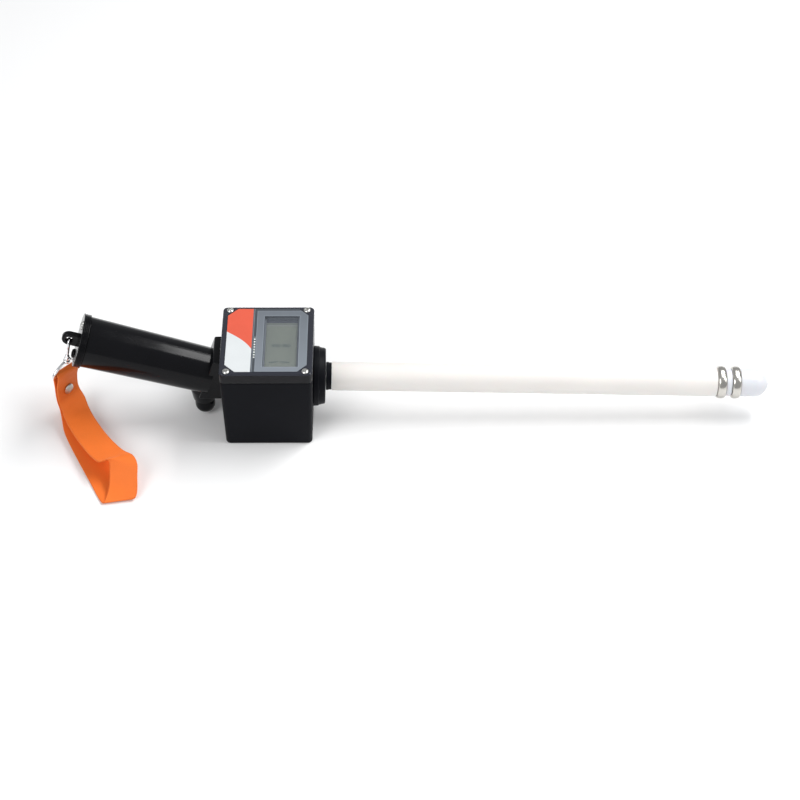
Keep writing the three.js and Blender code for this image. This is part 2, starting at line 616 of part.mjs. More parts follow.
function buildHandle() {
  add('handle_shell', handleShell(), 'glossBlack');
  buildHandleScrews();
  buildButton();
  add('battery_tray', batteryTray(), 'satinBlack', handleAxis);
  corners.forEach(([x, y], i) => {
    add(`battery_cell_${i + 1}`, batteryCell(), 'battery', handleAxis)
      .position.set(x * cell.pitch, y * cell.pitch, 0);
  });
  add('end_cap', endCap(), 'glossBlack', handleAxis);
  add('cap_seal', capSeal(), 'rubber', handleAxis);
  [-1, 1].forEach((side, i) => {
    add(`cap_screw_${i + 1}`, panScrew(capScrew), i ? 'chrome' : 'satinBlack', handleAxis)
      .position.set(side * capScrew.offset, 0, capEnd + GAP / 2);
  });
}

// ---------- snap hook: upright below the lug's hole, in a frame of its own ----------
const lugHole = along(handleRoot, handleAxis, 0, 0, capEnd + lug.reach - lug.width / 2);
const bowSag = hook.loopR - Math.sqrt(hook.loopR ** 2 - (lug.thick / 2) ** 2);
const hookTop = bowSag - (lug.hole - hook.wire - 2 * GAP);
const swivelTop = -hook.drop;

// The hook is a bent wire: up one side, over through the lug's hole, down the other side and
// into the boss at the bottom. Its mouth is left for the gate.
const mouthLow = swivelTop + 4.2;
const mouthHigh = hookTop - hook.loopR - 3.5;

function hookBody() {
  const r = hook.loopR;
  const bow = [];
  const steps = 4;
  for (let i = 0; i <= steps; i += 1) {
    const turn = Math.PI * (i / steps);
    bow.push(v3(r * Math.cos(turn), 0, hookTop - r + r * Math.sin(turn)));
  }
  const line = new THREE.CatmullRomCurve3([v3(r, 0, mouthHigh), ...bow, v3(-r, 0, swivelTop + 8),
    v3(-r * 0.8, 0, swivelTop + 3.4), v3(0, 0, swivelTop + 0.8)], false, 'centripetal');
  const bend = wire(line, hook.wire, 26, 8);
  const boss = turned([[0, swivelTop - 1], [hook.bodyR, swivelTop - 1], [hook.bodyR, swivelTop + 1.8],
    [hook.bodyR - 1, swivelTop + 2.8], [0, swivelTop + 2.8]], 16);
  return joined(bend, boss);
}

// The gate closes the hook's mouth and turns inwards about its lower end. It has a thumb knob.
function hookGate() {
  const r = hook.loopR;
  const line = new THREE.CatmullRomCurve3([v3(1.6, 0, mouthLow), v3(r - 0.4, 0, mouthLow + 2.4),
    v3(r, 0, mouthHigh - GAP)], false, 'centripetal');
  const knob = moved(solid(new THREE.SphereGeometry(1.9, 12, 8)), r + 0.4, 0, mouthLow + 3);
  return joined(wire(line, 1.05, 8, 8), knob);
}

// The swivel: a waisted post under the boss that carries the strap's D-shaped ring.
const ringTop = swivelTop - 1 - GAP;

function dRingSolid() {
  const half = dRing.width / 2;
  const drop = dRing.height;
  const w = dRing.wire;
  const line = new THREE.CatmullRomCurve3([v3(0, 0, -1.8), v3(4.5, 0, -2.3), v3(half - 0.9, 0, -drop + 3.8),
    v3(half, 0, -drop + 0.6), v3(half - 1.6, 0, -drop), v3(0, 0, -drop), v3(-half + 1.6, 0, -drop),
    v3(-half, 0, -drop + 0.6), v3(-half + 0.9, 0, -drop + 3.8), v3(-4.5, 0, -2.3)], true, 'centripetal');
  const loop = wire(line, w, 40, 8);
  const post = turned([[0, -3.2], [hook.swivelR - 0.4, -3], [hook.swivelR, -2], [hook.swivelR, -0.6],
    [hook.swivelR - 0.6, 0], [0, 0]], 24);
  return joined(loop, post);
}

const hookGroup = new THREE.Group();
const ringGroup = new THREE.Group();
const lean = new THREE.Euler(0, rad(hook.lean), 0);
const ringPivot = v3(0, 0, ringTop).applyEuler(lean).add(lugHole);
const strapBar = v3(0, 0, -dRing.height).applyEuler(lean).add(ringPivot);

function buildHook() {
  meter.add(hookGroup, ringGroup);
  hookGroup.position.copy(lugHole);
  hookGroup.rotation.set(0, rad(hook.lean), -Math.PI / 2);
  add('hook_body', hookBody(), 'chrome', hookGroup);
  add('hook_gate', hookGate(), 'chrome', hookGroup);
  ringGroup.position.copy(ringPivot);
  ringGroup.rotation.set(0, rad(hook.lean), rad(dRing.heading));
  add('strap_ring', dRingSolid(), 'chrome', ringGroup);
}

// ---------- wrist strap ----------
// The webbing is a closed loop of stations: [x, y] from the ring's bar, height over the ground,
// and the heading of the webbing's width, in degrees about Z from +X. It hangs from the bar,
// lies on the ground towards -Y, turns to -Y, folds over and comes back underneath itself.
const clearOfBar = dRing.wire + 2 * GAP + webbing.thick / 2;
const rivetPlace = { x: -1, y: -1, z: 30.5, apart: 2.4, flat: 7.5 };
const acrossBar = v3(Math.cos(rad(dRing.heading)), Math.sin(rad(dRing.heading)), 0);
const outFromBar = v3(acrossBar.y, -acrossBar.x, 0);

function stations() {
  const top = strapBar.z;
  const { x, y, z, flat } = rivetPlace;
  const half = rivetPlace.apart / 2;
  const low = webbing.thick / 2 + GAP;
  const across = (angle) => v3(Math.cos(rad(angle)), Math.sin(rad(angle)), 0);
  const free = (px, py, pz, angle) => ({
    at: v3(strapBar.x + px, strapBar.y + py, pz), across: across(angle),
  });
  const pair = (px, py, pz, offset, side) => ({
    at: v3(strapBar.x + px, strapBar.y + py, pz).addScaledVector(outFromBar, offset), across: side,
  });
  const barSide = acrossBar.clone().applyEuler(lean);
  return [
    pair(0, 0, top + clearOfBar, 0, barSide), pair(0, 0, top, clearOfBar, barSide),
    pair(x, y, z + flat, half, acrossBar), pair(x, y, z - flat, half, acrossBar),
    free(3.8, -7.5, 17.5, 43), free(7.2, -15.5, 14.4, 42), free(13.6, -28.5, 13.4, 43),
    free(25.6, -49, 14.4, 42), free(35.5, -64, 17, 38), free(44, -74.5, 20, 30), free(50.5, -78, 22, 12),
    free(54, -81.5, 20.6, -8), free(54.6, -89, 14, -15), free(54.6, -99, 7, -11),
    free(53, -106.5, low + 2.6, -1), free(50.8, -109, low + 1.3, 10), free(47, -103.5, low, 22),
    free(34.6, -79, low, 30), free(24, -58, low, 31), free(10.6, -30, low, 32),
    free(6, -19, low + 1.4, 35), free(3.6, -10.5, 6.5, 39), free(1.6, -4.4, 14, 42),
    pair(x, y, z - flat, -half, acrossBar), pair(x, y, z + flat, -half, acrossBar),
    pair(0, 0, top, -clearOfBar, barSide),
  ];
}

function webbingLoop() {
  const list = stations();
  const centre = new THREE.CatmullRomCurve3(list.map(({ at }) => at), true, 'centripetal');
  const across = new THREE.CatmullRomCurve3(list.map((station) => station.across), true, 'catmullrom');
  const section = [[-1, -1], [-1, 1], [1, 1], [1, -1]];
  const point = (t, around, target) => {
    const side = across.getPoint(t % 1).normalize();
    const normal = centre.getTangent(t % 1).cross(side).normalize();
    const [a, b] = section[Math.round(around * 4) % 4];
    target.copy(centre.getPoint(t % 1));
    target.addScaledVector(side, (a * webbing.width) / 2).addScaledVector(normal, (b * webbing.thick) / 2);
  };
  return solid(new ParametricGeometry(point, 104, 4));
}

// The rivet closes the webbing into a sleeve round the ring's bar. Local Z points out of the
// front layer.
function rivetSolid() {
  const face = rivetPlace.apart / 2 + webbing.thick / 2 + 2 * GAP;
  const { radius, headH, shankR } = rivet;
  return turned([[0, -face - headH], [radius * 0.7, -face - headH], [radius, -face - 0.3], [radius, -face],
    [shankR, -face], [shankR, face], [radius, face], [radius, face + 0.3], [radius * 0.7, face + headH],
    [0, face + headH]], 20);
}

function buildStrap() {
  const middle = v3(strapBar.x + rivetPlace.x, strapBar.y + rivetPlace.y, rivetPlace.z);
  const outward = new THREE.Euler(Math.PI / 2, 0, 0);
  const group = new THREE.Group();
  group.position.copy(middle);
  group.rotation.set(0, 0, rad(dRing.heading));
  meter.add(group);
  add('strap_rivet', rivetSolid(), 'steel', group).rotation.copy(outward);
  const hole = rod(rivet.shankR + GAP, -8, 8).rotate([90, 0, dRing.heading]).translate(middle.toArray());
  add('wrist_strap', cut(webbingLoop(), hole), 'orangeWeb');
}

buildHead();
buildProbe();
buildHandle();
buildHook();
buildStrap();

export default meter;
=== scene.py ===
# Grain moisture meter: the finished surfaces of the meter's pieces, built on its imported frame.
# Metres, +Z up. Each operator makes one piece or one group of like pieces.
import json
import math

import bmesh
import bpy
import numpy as np
from bpy.props import FloatProperty, FloatVectorProperty, IntProperty, PointerProperty
from mathutils import Matrix, Vector


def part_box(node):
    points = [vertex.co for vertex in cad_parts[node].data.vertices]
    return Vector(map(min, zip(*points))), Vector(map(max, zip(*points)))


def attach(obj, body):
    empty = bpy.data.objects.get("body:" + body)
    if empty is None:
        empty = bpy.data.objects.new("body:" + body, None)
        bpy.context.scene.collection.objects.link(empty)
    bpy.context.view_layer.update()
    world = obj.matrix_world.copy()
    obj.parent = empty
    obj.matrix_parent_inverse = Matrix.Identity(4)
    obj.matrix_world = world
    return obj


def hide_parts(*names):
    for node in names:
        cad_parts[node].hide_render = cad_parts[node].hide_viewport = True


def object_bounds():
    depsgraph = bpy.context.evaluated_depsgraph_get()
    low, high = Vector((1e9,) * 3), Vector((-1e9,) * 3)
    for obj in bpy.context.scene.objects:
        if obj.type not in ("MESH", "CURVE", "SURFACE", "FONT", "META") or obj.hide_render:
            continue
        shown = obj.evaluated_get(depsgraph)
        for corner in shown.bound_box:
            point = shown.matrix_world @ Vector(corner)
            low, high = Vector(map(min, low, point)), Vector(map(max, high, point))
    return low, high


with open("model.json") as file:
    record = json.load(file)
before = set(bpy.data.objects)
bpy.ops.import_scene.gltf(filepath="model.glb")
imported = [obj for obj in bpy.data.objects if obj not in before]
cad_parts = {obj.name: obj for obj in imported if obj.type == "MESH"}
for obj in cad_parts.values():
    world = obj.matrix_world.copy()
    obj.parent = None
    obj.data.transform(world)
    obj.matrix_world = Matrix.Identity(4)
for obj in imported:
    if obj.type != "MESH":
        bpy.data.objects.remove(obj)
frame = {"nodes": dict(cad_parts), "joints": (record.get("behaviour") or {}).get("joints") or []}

bl_info = {
    "name": "Grain Moisture Meter",
    "version": (1, 0, 0),
    "blender": (4, 5, 0),
    "location": "View3D > Sidebar > Meter",
    "description": "Builds the finished pieces of a hand-held grain moisture meter",
    "category": "Add Mesh",
}

MM = 0.001
ON_AXIS = 1e-7  # points nearer than this, in metres, are one point
CAD_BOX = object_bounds()
NODES = frame["nodes"]
JOINTS = {joint["name"]: joint for joint in frame["joints"]}


# ---------- settings ----------
def size(name, millimetres, description):
    """A length setting whose default is given in millimetres."""
    return FloatProperty(name=name, description=description, default=millimetres * MM, min=0,
                         precision=5, subtype="DISTANCE", unit="LENGTH")


def turn(name, degrees, description):
    """An angle setting whose default is given in degrees."""
    return FloatProperty(name=name, description=description, default=math.radians(degrees),
                         subtype="ANGLE", unit="ROTATION")


def share(name, value, description):
    """A plain number setting."""
    return FloatProperty(name=name, description=description, default=value, min=0)


def colour(name, red, green, blue, description):
    """A colour setting, in linear light."""
    return FloatVectorProperty(name=name, description=description, default=(red, green, blue),
                               size=3, min=0, max=1, subtype="COLOR")


class MeterCaseSettings(bpy.types.PropertyGroup):
    """The head's case and its clear lid."""
    draft: turn("Draft", 1.4, "Lean of the case's walls")
    corner: size("Corner", 4, "Radius of the upright corners")
    foot_edge: size("Foot edge", 2, "Rounding round the base")
    wall: size("Wall", 2.8, "Thickness of the case's wall")
    floor: size("Floor", 3, "Thickness of the case's floor")
    rim_edge: size("Rim edge", 0.4, "Rounding of the case's rim")
    lid_edge: size("Lid edge", 1.6, "Rounding round the lid's face")
    lid_plate: size("Lid plate", 2.6, "Thickness of the lid's face")
    lid_wall: size("Lid wall", 2.4, "Thickness of the lid's skirt")
    pad_radius: size("Screw pad", 5.6, "Radius of the lid's screw pads")


class MeterProbeSettings(bpy.types.PropertyGroup):
    """The tube, its flange and the electrodes."""
    tube_wall: size("Tube wall", 1.5, "Thickness of the tube's wall")
    tip_wall: size("Tip wall", 2.2, "Thickness of the tip's wall")
    edge: size("Edge", 0.25, "Rounding of cut edges")
    flange_lip: size("Flange lip", 1.6, "Rounding of the flange's outer edge")
    spigot_radius: size("Spigot", 17, "Radius of the flange's spigot")
    spigot_wall: size("Spigot wall", 2.2, "Thickness of the spigot's wall")
    ring_seat: size("Ring seat", 1.1, "Depth that the rings are let into the tube")


class MeterHandleSettings(bpy.types.PropertyGroup):
    """The grip, its wedge block, the button and the end cap."""
    front_radius: size("Front radius", 19.9, "Radius of the grip next to the block")
    rear_radius: size("Rear radius", 22, "Radius of the grip at the end cap")
    grip_wall: size("Grip wall", 2.6, "Thickness of the grip's wall")
    hollow_start: size("Hollow start", 4.5, "Where the grip's hollow starts, from the grip's own root")
    block_half_width: size("Block half width", 16.9, "Half the width of the wedge block")
    block_top: size("Block top", 75.2, "Height of the block's top")
    block_bottom: size("Block bottom", 31.5, "Height of the block's underside")
    block_depth: size("Block depth", 6.6, "Depth of the block at its top")
    block_edge: size("Block edge", 2, "Rounding of the block's long edges")
    boss_end_radius: size("Boss end", 10, "Radius of the button's boss at its mouth")
    boss_root_radius: size("Boss root", 11.9, "Radius of the boss where it meets the grip")
    boss_length: size("Boss length", 12, "Length of the boss's flare")
    button_radius: size("Button", 8.7, "Radius of the button")
    cap_radius: size("Cap radius", 23.5, "Radius of the end cap")
    cap_thick: size("Cap thickness", 6, "Thickness of the end cap's flange")
    rib_depth: size("Rib depth", 0.5, "Depth of the grooves round the end cap")
    ribs: IntProperty(name="Ribs", description="Number of ribs round the end cap", default=3, min=1)
    lug_width: size("Lug width", 12.8, "Width of the strap lug")
    lug_thick: size("Lug thickness", 5, "Thickness of the strap lug")
    lug_reach: size("Lug reach", 14.2, "How far the strap lug stands off the cap")
    lug_hole: size("Lug hole", 3.2, "Radius of the hole in the lug")


class MeterScrewSettings(bpy.types.PropertyGroup):
    """The visible pan-head screws."""
    head_share: share("Head height", 0.62, "Height of a screw's head, as a share of its radius")
    recess_width: share("Recess width", 0.30, "Width of the cross recess, as a share of the head's radius")
    recess_reach: share("Recess reach", 0.62, "Reach of the cross recess, as a share of the head's radius")
    turn_seed: IntProperty(name="Turn seed", description="Seed of how far each screw is turned", default=7)


class MeterStrapSettings(bpy.types.PropertyGroup):
    """The wrist strap and its metal parts."""
    width: size("Webbing width", 25, "Width of the webbing")
    thick: size("Webbing thickness", 1.35, "Thickness of the webbing")
    rivet_apart: size("Layers apart", 2.4, "Distance between the two layers at the rivet")
    wire: size("Wire radius", 1.25, "Radius of the hook's and the ring's wire")
    hook_bow: size("Hook bow", 4.3, "Radius of the hook's bow")
    ring_width: size("Ring width", 30, "Width of the ring, between the middles of its wire")
    warp_pitch: size("Warp pitch", 0.62, "Distance between two yarns along the webbing")
    weft_pitch: size("Weft pitch", 0.5, "Distance between two yarns across the webbing")


class MeterColours(bpy.types.PropertyGroup):
    """Colours of the finishes."""
    case: colour("Case", 0.0040, 0.0044, 0.0064, "Satin plastic of the case")
    grip: colour("Grip", 0.0035, 0.0036, 0.0046, "Gloss plastic of the handle")
    tube: colour("Tube", 0.775, 0.745, 0.715, "Warm white pipe")
    tip: colour("Tip", 0.69, 0.70, 0.74, "Cool white tip")
    steel: colour("Steel", 0.62, 0.60, 0.56, "Polished stainless steel")
    chrome: colour("Chrome", 0.83, 0.83, 0.84, "Bright plating")
    zinc: colour("Zinc", 0.70, 0.70, 0.68, "Zinc-plated screws")
    label: colour("Label", 0.66, 0.082, 0.036, "Orange print of the label")
    label_pale: colour("Label, pale", 0.62, 0.65, 0.66, "Pale print of the label")
    film: colour("Film", 0.165, 0.185, 0.21, "Tinted border of the window")
    display: colour("Display", 0.235, 0.26, 0.205, "The display's unlit ground")
    webbing: colour("Webbing", 0.93, 0.19, 0.022, "Dyed webbing")
    board: colour("Board", 0.015, 0.12, 0.05, "Circuit board lacquer")
    floor: colour("Floor", 0.9, 0.9, 0.9, "Studio floor")


class MeterStudioSettings(bpy.types.PropertyGroup):
    """Camera, floor and lights."""
    lens: FloatProperty(name="Lens", description="Focal length on a 36 mm sensor", default=90.95,
                        unit="CAMERA")
    azimuth: turn("Azimuth", -0.79, "Turn of the camera round the meter")
    elevation: turn("Elevation", 44.99, "Height of the camera above the horizon")
    roll: turn("Roll", 0.45, "Turn of the camera about its own line of sight")
    distance: size("Distance", 1783.2, "From the camera to the point it looks at")
    look_x: FloatProperty(name="Look at X", description="Where the camera looks, along the probe",
                          default=0.1142, unit="LENGTH")
    look_z: FloatProperty(name="Look at Z", description="Height at which the camera looks",
                          default=0.0132, unit="LENGTH")
    floor_half: size("Floor half size", 4000, "Half the width of the floor")
    world_light: share("World light", 0.46, "Strength of the light from all round")


class MeterSettings(bpy.types.PropertyGroup):
    """All settings of the meter."""
    case: PointerProperty(type=MeterCaseSettings, name="Case", description="Case and lid")
    probe: PointerProperty(type=MeterProbeSettings, name="Probe", description="Probe")
    handle: PointerProperty(type=MeterHandleSettings, name="Handle", description="Handle")
    screws: PointerProperty(type=MeterScrewSettings, name="Screws", description="Screws")
    strap: PointerProperty(type=MeterStrapSettings, name="Strap", description="Strap")
    colours: PointerProperty(type=MeterColours, name="Colours", description="Colours")
    studio: PointerProperty(type=MeterStudioSettings, name="Studio", description="Studio")


# ---------- node graphs ----------
class Value:
    """A node socket that arithmetic can be written on."""

    def __init__(self, graph, socket):
        self.graph = graph
        self.socket = socket

    def math(self, operation, *values, clamp=False):
        sockets = dict(enumerate((self, *values)))
        return self.graph.node("ShaderNodeMath", {"operation": operation, "use_clamp": clamp}, sockets)

    def reflected(self, operation, value):
        return self.graph.node("ShaderNodeMath", {"operation": operation}, {0: value, 1: self})

    def __add__(self, other):
        return self.math("ADD", other)

    def __sub__(self, other):
        return self.math("SUBTRACT", other)

    def __rsub__(self, other):
        return self.reflected("SUBTRACT", other)

    def __mul__(self, other):
        return self.math("MULTIPLY", other)

    def __truediv__(self, other):
        return self.math("DIVIDE", other)

    def __pow__(self, other):
        return self.math("POWER", other)

    def __abs__(self):
        return self.math("ABSOLUTE")

    __radd__ = __add__
    __rmul__ = __mul__

    def sine(self):
        return self.math("SINE")

    def above(self, limit, softness):
        """1 where this value is over the limit and 0 where it is under, with a soft step between."""
        return ((self - limit) / softness).math("ADD", 0.5, clamp=True)

    def within(self, low, high, softness):
        """1 between two limits."""
        return self.above(low, softness) * (1 - self.above(high, softness))


class Graph:
    """A node tree under construction."""

    def __init__(self, tree):
        self.tree = tree
        self.tree.nodes.clear()

    def node(self, kind, settings=(), sockets=(), out=0):
        made = self.tree.nodes.new(kind)
        for key, value in dict(settings).items():
            setattr(made, key, value)
        for key, value in dict(sockets).items():
            if isinstance(value, Value):
                self.tree.links.new(value.socket, made.inputs[key])
            else:
                made.inputs[key].default_value = value
        return Value(self, made.outputs[out])


class Finish(Graph):
    """A surface material, read in object coordinates or in a piece's own UV map."""

    def __init__(self, name):
        self.material = bpy.data.materials.new(name)
        self.material.use_nodes = True
        super().__init__(self.material.node_tree)
        self.place = self.node("ShaderNodeTexCoord", out="Object")

    def axes(self, vector=None):
        vector = vector or self.place
        return [self.node("ShaderNodeSeparateXYZ", sockets={0: vector}, out=i) for i in range(3)]

    def mapped(self, location=(0, 0, 0), rotation=(0, 0, 0), scale=(1, 1, 1), vector=None):
        sockets = {"Vector": vector or self.place, "Location": location, "Rotation": rotation, "Scale": scale}
        return self.node("ShaderNodeMapping", {"vector_type": "TEXTURE"}, sockets)

    def noise(self, feature, detail=2.0, vector=None, stretch=(1, 1, 1)):
        """Noise whose features are about the given size in metres, from 0 to 1."""
        vector = self.mapped(scale=stretch, vector=vector)
        sockets = {"Vector": vector, "Scale": 1 / feature, "Detail": detail}
        return self.node("ShaderNodeTexNoise", sockets=sockets)

    def mix(self, factor, first, second):
        pair = [value if isinstance(value, Value) else (*value, 1) for value in (first, second)]
        return self.node("ShaderNodeMix", {"data_type": "RGBA"}, {0: factor, 6: pair[0], 7: pair[1]}, out=2)

    def bump(self, height, distance, strength=1.0):
        sockets = {"Height": height, "Distance": distance, "Strength": strength}
        return self.node("ShaderNodeBump", sockets=sockets)

    def surface(self, **sockets):
        """Gives the material a Principled surface with the sockets named, spaces written as underscores."""
        named = {key.replace("_", " "): value for key, value in sockets.items()}
        shader = self.node("ShaderNodeBsdfPrincipled", sockets=named)
        output = self.tree.nodes.new("ShaderNodeOutputMaterial")
        self.tree.links.new(shader.socket, output.inputs["Surface"])
        return self.material


def tint(shade, factor):
    """A colour made lighter or darker."""
    return tuple(min(1.0, part * factor) for part in shade)


# ---------- finishes ----------
def satin_plastic(name, shade):
    """Moulded plastic with a fine spark-eroded grain, faint clouding and streaks of rubbed roughness."""
    look = Finish(name)
    grain = look.noise(0.45 * MM, 4)
    cloud = look.noise(24 * MM, 3)
    rub = look.noise(3 * MM, 2, stretch=(6, 1, 1))
    base = look.mix(cloud, tint(shade, 0.8), tint(shade, 1.35))
    rough = 0.34 + 0.10 * cloud + 0.08 * grain + 0.04 * rub
    return look.surface(Base_Color=base, Roughness=rough, Normal=look.bump(grain, 0.035 * MM, 0.5),
                        Specular_IOR_Level=0.07)


def gloss_plastic(name, shade):
    """Polished moulding with slow waves, as a thick gloss part has, and hairline handling marks."""
    look = Finish(name)
    wave = look.noise(26 * MM, 1)
    dust = look.noise(0.5 * MM, 3)
    hair = look.noise(1.1 * MM, 3, stretch=(14, 1, 1))
    marks = hair.above(0.62, 0.1)
    base = look.mix(wave, tint(shade, 0.85), tint(shade, 1.3))
    rough = 0.12 + 0.06 * wave + 0.05 * marks
    height = wave + 0.004 * dust + 0.003 * hair
    return look.surface(Base_Color=base, Roughness=rough, Normal=look.bump(height, 0.30 * MM, 0.6),
                        Specular_IOR_Level=0.15)


def rubber(name, shade):
    """Matt rubber with a dusty bloom."""
    look = Finish(name)
    bloom = look.noise(4 * MM, 4)
    pores = look.noise(0.3 * MM, 2)
    base = look.mix(bloom, shade, tint(shade, 2.2))
    return look.surface(Base_Color=base, Roughness=0.72 + 0.15 * bloom,
                        Normal=look.bump(pores, 0.03 * MM, 0.5))


def plated_metal(name, shade, smooth):
    """Plated or polished metal with fine scratches and dull patches."""
    look = Finish(name)
    patch = look.noise(2.5 * MM, 3)
    scratch = look.noise(0.25 * MM, 3, stretch=(1, 1, 9))
    base = look.mix(patch, tint(shade, 0.88), tint(shade, 1.06))
    rough = smooth + 0.10 * patch + 0.05 * scratch
    return look.surface(Base_Color=base, Metallic=1.0, Roughness=rough,
                        Normal=look.bump(scratch, 0.006 * MM, 0.5))


def turned_steel(name, shade, place):
    """Steel turned in a lathe: fine grooves round the axis, then polished."""
    look = Finish(name)
    axis = look.mapped(location=tuple(place.translation), rotation=tuple(place.to_euler()))
    height = look.axes(axis)[2]
    groove = (height * (2 * math.pi / (0.28 * MM))).sine()
    streak = look.noise(1.6 * MM, 3, vector=axis, stretch=(12, 12, 1))
    patch = look.noise(5 * MM, 3)
    base = look.mix(patch, tint(shade, 0.82), tint(shade, 1.05))
    rough = 0.13 + 0.09 * patch + 0.06 * streak
    return look.surface(Base_Color=base, Metallic=1.0, Roughness=rough,
                        Normal=look.bump(0.4 * groove + streak, 0.010 * MM, 0.6))


def white_plastic(name, shade, place, rough, drawn):
    """Extruded or moulded white plastic: faint lines along its length, soft clouding and a few dark specks.
    """
    look = Finish(name)
    axis = look.mapped(location=tuple(place.translation), rotation=tuple(place.to_euler()))
    line = look.noise(0.9 * MM, 2, vector=axis, stretch=(1, 1, drawn))
    cloud = look.noise(45 * MM, 3)
    speck = look.noise(1.3 * MM, 2).above(0.74, 0.04)
    base = look.mix(cloud, tint(shade, 0.97), tint(shade, 1.03))
    base = look.mix(0.12 * speck, base, tint(shade, 0.55))
    return look.surface(Base_Color=base, Roughness=rough + 0.10 * cloud, Subsurface_Weight=0.08,
                        Subsurface_Scale=1.5 * MM, Normal=look.bump(line, 0.02 * MM, 0.35))


def clear_plastic(name):
    """Clear lid. Outside the display's window it is dark and nearly opaque, a painted shade for the black,
    unlit inside of the case seen through it, with its top painted lighter than its skirt as a painted
    reflection; this leaves only the display's window clear, under a pale veil of haze, scuffs and painted
    reflection.
    """
    look = Finish(name)
    x, y, z = look.axes()
    low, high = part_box("lcd_frame")
    soft = 0.3 * MM
    window = x.within(low.x - soft, high.x + soft, soft) * y.within(low.y - 6 * MM, high.y, soft)
    slant = look.node("ShaderNodeLayerWeight", sockets={"Blend": 0.35}, out="Facing")
    haze = look.noise(9 * MM, 3)
    scuff = look.noise(0.7 * MM, 3, stretch=(9, 1, 1)).above(0.66, 0.08)
    # the veil's opacity: haze and scuffs, plus painted reflection that thickens at grazing angles
    haze_and_painted_glare = 0.06 + 0.04 * haze + 0.06 * scuff + 0.25 * slant ** 3.0
    # outside the window the lid is made nearly opaque, a painted shade for the dark inside of the case
    haze_and_painted_glare = haze_and_painted_glare.math("MAXIMUM", 0.93 * (1 - window))
    # the lid's top is painted lighter than its skirt, a painted reflection of the bright surroundings
    face = z.above(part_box("clear_lid")[1].z - 1.5 * MM, 0.5 * MM)
    dark = look.mix(face, (0.004, 0.004, 0.006), (0.030, 0.032, 0.042))
    # over the window the colour is a pale grey-blue, a painted reflection seen through the veil
    base = look.mix(window, dark, (0.30, 0.33, 0.38))
    return look.surface(Base_Color=base, Roughness=0.05 + 0.10 * haze, Alpha=haze_and_painted_glare,
                        Specular_IOR_Level=0.22)


def label_print(name, colours):
    """The printed label: orange over pale grey, parted by a curve that bends down to the right."""
    look = Finish(name)
    low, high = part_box("face_label")
    x, y, _ = look.axes()
    run = (x - low.x) / (high.x - low.x)
    parting = 10.5 * MM - 16.5 * MM * run - 6 * MM * run ** 4.0
    upper = (y - parting).above(0.0, 0.25 * MM)
    ink = look.noise(0.35 * MM, 3)
    fade = look.noise(16 * MM, 2)
    orange = look.mix(fade, tint(colours.label, 0.93), tint(colours.label, 1.06))
    pale = look.mix(fade, tint(colours.label_pale, 0.95), tint(colours.label_pale, 1.05))
    base = look.mix(upper, pale, orange)
    base = look.mix(0.10 * ink, base, (0.6, 0.55, 0.55))
    edge = 1 - (x - high.x).above(-0.45 * MM, 0.2 * MM)
    base = look.mix(edge, tint(colours.film, 0.8), base)
    return look.surface(Base_Color=base, Roughness=0.30 + 0.12 * fade, Normal=look.bump(ink, 0.01 * MM, 0.3),
                        Specular_IOR_Level=0.18)


def window_print(name, colours):
    """The window film: a tinted border, a fine outline round the display, a thin painted highlight in a band
    round the border, a lighter seam at its left edge, a column of marks, and a clear view of the display.
    """
    look = Finish(name)
    x, y, _ = look.axes()
    low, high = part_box("face_window")
    view_low, view_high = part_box("lcd_frame")
    line = 0.35 * MM
    soft = 0.25 * MM
    drop = high.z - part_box("lcd_glass")[1].z
    shift = 0.5 * drop
    top, bottom = view_high.y - shift, view_low.y - shift
    frame_left = low.x + 3.2 * MM

    def panel(left, right, base, lid):
        return x.within(left, right, soft) * y.within(base, lid, soft)

    clear = panel(view_low.x, view_high.x, bottom, top)
    outline = panel(view_low.x - line, view_high.x + line, bottom - line, top + line) * (1 - clear)
    border = panel(frame_left, high.x - 0.9 * MM, low.y + 0.6 * MM, high.y - 3 * MM)
    # rim: a thin band round the border that is painted lighter, a painted highlight where the lid's edge
    # catches light
    rim = panel(frame_left - line, high.x - 0.5 * MM, low.y + 0.2 * MM, high.y - 2.6 * MM) * (1 - border)
    rise = (y - low.y) / (high.y - low.y)
    cloud = look.noise(18 * MM, 2)
    shade = look.mix(rise, tint(colours.film, 1.25), tint(colours.film, 0.78))
    shade = look.mix(0.35 * cloud, shade, tint(colours.film, 1.35))
    shade = look.mix(border, tint(colours.film, 0.42), shade)
    seam = x.within(low.x, low.x + 0.6 * MM, soft)
    # the outline round the display is print; the rim is a painted highlight; the seam is a lighter line at
    # the left edge
    shade = look.mix(0.8 * (rim + outline) + 0.5 * seam, shade, tint(colours.film, 1.9))
    pitch = 3.2 * MM
    wave = (y * (2 * math.pi / pitch)).sine()
    marks = x.within(low.x + 1.1 * MM, low.x + 2.4 * MM, 0.2 * MM) * y.within(-22 * MM, 3.6 * MM, soft)
    marks = marks * wave.above(0.1, 0.4)
    shade = look.mix(marks, shade, (0.8, 0.84, 0.82))
    cover = 0.95 - 0.80 * clear
    ink = look.noise(0.5 * MM, 2)
    return look.surface(Base_Color=shade, Roughness=0.14 + 0.10 * cloud, Alpha=cover,
                        Normal=look.bump(ink, 0.006 * MM, 0.3), Specular_IOR_Level=0.2)


